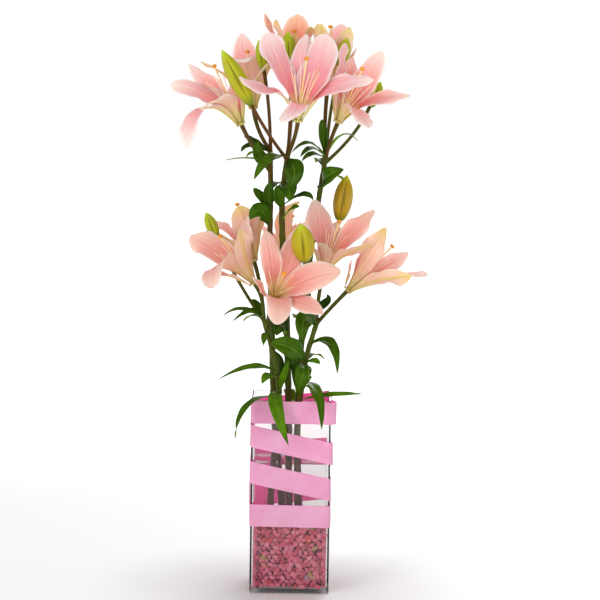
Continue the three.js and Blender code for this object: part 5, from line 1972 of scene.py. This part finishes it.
@dataclass
class Studio:
    """Pale floor, soft lights and the camera at the photograph's view.

    The surround has four levels: what lights the scene, what mirror images show, what the camera
    sees and what is seen through glass and water.
    """

    lens: float = 142.9
    place: tuple[float, float, float] = (0.009, -3.0008, 0.6669)
    pitch: float = 5.69
    roll: float = 0.8
    reach: float = 12.0
    surround: float = 0.42
    mirrored: float = 0.1
    seen: float = 1.05
    seen_through: float = 0.86
    lights: Sequence[tuple] = field(default_factory=lambda: (
        ("key", (-1.9, -2.4, 1.6), 1.5, 38.0), ("fill", (1.2, -2.3, 0.6), 1.6, 15.0),
        ("top", (0.2, 0.2, 2.4), 1.4, 7.0), ("back", (0.5, 1.5, 0.9), 1.2, 14.0),
    ))

    def camera(self) -> None:
        """Places the camera: turned up from straight down, then rolled about its own view."""
        data = bpy.data.cameras.new("view")
        data.lens, data.sensor_width = self.lens, 36.0
        data.clip_start, data.clip_end = 0.05, 60.0
        made = bpy.data.objects.new("view", data)
        bpy.context.scene.collection.objects.link(made)
        rolled = Matrix.Rotation(math.radians(self.roll), 4, "Z")
        turn = Matrix.Rotation(math.radians(90 - self.pitch), 4, "X") @ rolled
        made.matrix_world = Matrix.Translation(self.place) @ turn
        bpy.context.scene.camera = made

    def floor(self, finish: bpy.types.Material) -> None:
        """A wide flat floor.

        Args:
            finish: the floor's material.
        """
        side = np.linspace(-self.reach, self.reach, 13)
        points = np.stack(np.broadcast_arrays(side[None, :], side[:, None], 0.0), axis=-1).reshape(-1, 3)
        ids = np.arange(len(points)).reshape(len(side), len(side))
        faces = np.stack([ids[:-1, :-1], ids[:-1, 1:], ids[1:, 1:], ids[1:, :-1]], axis=-1).reshape(-1, 4)
        mesh = bpy.data.meshes.new("studio_floor")
        mesh.from_pydata(points.tolist(), [], faces.tolist())
        mesh.materials.append(finish)
        made = bpy.data.objects.new("studio_floor", mesh)
        bpy.context.scene.collection.objects.link(made)

    def light(self) -> None:
        """Soft area lights that look at the middle of the bunch, and a white surround."""
        aim = np.array([0.0, 0.0, 0.38])
        for name, place, size, power in self.lights:
            data = bpy.data.lights.new(name, "AREA")
            data.size, data.energy = size, power
            made = bpy.data.objects.new(name, data)
            made.visible_camera = made.visible_transmission = False
            bpy.context.scene.collection.objects.link(made)
            back = unit(np.array(place) - aim)
            side = unit(np.cross(UP, back))
            turn = np.stack([side, np.cross(back, side), back], axis=1)
            made.matrix_world = Matrix.Translation(place) @ Matrix(turn.tolist()).to_4x4()
        world = bpy.data.worlds.new("white_room")
        world.use_nodes = True
        nodes = Nodes(world.node_tree)
        ground = world.node_tree.nodes["Background"]
        ground.inputs[0].default_value = WHITE
        level = nodes.linear(mirror_ray(nodes), self.mirrored - self.surround, self.surround)
        paths = nodes.add("LightPath").outputs
        level = nodes.linear(paths["Is Camera Ray"], self.seen - self.surround, level)
        level = nodes.linear(paths["Is Transmission Ray"], self.seen_through - self.surround, level)
        nodes.put(ground.inputs[1], level)
        bpy.context.scene.world = world
        bpy.context.scene.view_settings.view_transform = "Standard"

    def build(self, shared: Shared) -> None:
        """Makes the camera, the floor and the lights.

        Args:
            shared: the shared node groups.
        """
        self.camera()
        self.floor(FloorFinish().material(shared))
        self.light()


def finishes_for(shared: Shared) -> Finishes:
    """Every finish by the slot that wears it.

    Args:
        shared: the shared node groups.

    Returns:
        The materials by slot name.
    """
    pink = PetalFinish(
        "petal_pink",
        ((0.0, srgb(222, 218, 80)), (0.09, srgb(255, 244, 160)), (0.18, srgb(255, 226, 172)),
         (0.3, srgb(244, 144, 154)), (0.58, srgb(245, 168, 174)), (0.84, srgb(250, 204, 202)),
         (1.0, srgb(253, 228, 220))),
        srgb(255, 238, 234), srgb(236, 124, 144),
        ((0.0, srgb(176, 168, 84)), (0.16, srgb(226, 204, 140)), (0.4, srgb(240, 186, 170)),
         (0.75, srgb(246, 202, 188)), (1.0, srgb(226, 212, 130))),
    )
    salmon = PetalFinish(
        "petal_salmon",
        ((0.0, srgb(206, 186, 86)), (0.12, srgb(240, 178, 104)), (0.25, srgb(240, 150, 124)),
         (0.6, srgb(238, 160, 140)), (0.9, srgb(244, 184, 164)), (1.0, srgb(246, 204, 176))),
        srgb(248, 206, 188), srgb(230, 124, 108),
        ((0.0, srgb(176, 168, 84)), (0.2, srgb(226, 198, 136)), (0.5, srgb(238, 180, 156)),
         (0.85, srgb(242, 192, 170)), (1.0, srgb(224, 208, 126))),
    )
    return {
        "petal": pink.material(shared), "petal_salmon": salmon.material(shared),
        "stamens": StamenFinish().material(shared), "bud": BudFinish().material(shared),
        "leaf": LeafFinish().material(shared), "stem": StemFinish().material(shared),
        "gravel": PebbleFinish().material(shared), "ribbon": SatinFinish().material(shared),
        "glass": clear_material("vase_glass", (0.82, 0.805, 0.805), (0.98, 0.98, 0.98, 1.0), 1.5),
        "water": clear_material("vase_water", (0.98, 0.98, 0.975), (0.99, 0.99, 0.99, 1.0), 1.33),
    }


def main() -> None:
    """Builds the studio and every piece."""
    logging.basicConfig(level=logging.INFO, format="%(name)s: %(message)s")
    shared = Shared()
    Studio().build(shared)
    finishes = finishes_for(shared)
    for part in (GlassVase(), PebbleBed(), Water(), SatinRibbon(), *BUDS, *BLOOMS):
        part.build(finishes)
    for index, stem in enumerate(STEMS):
        stem.build(finishes, leaves_of(index))


if __name__ == "__main__":
    main()
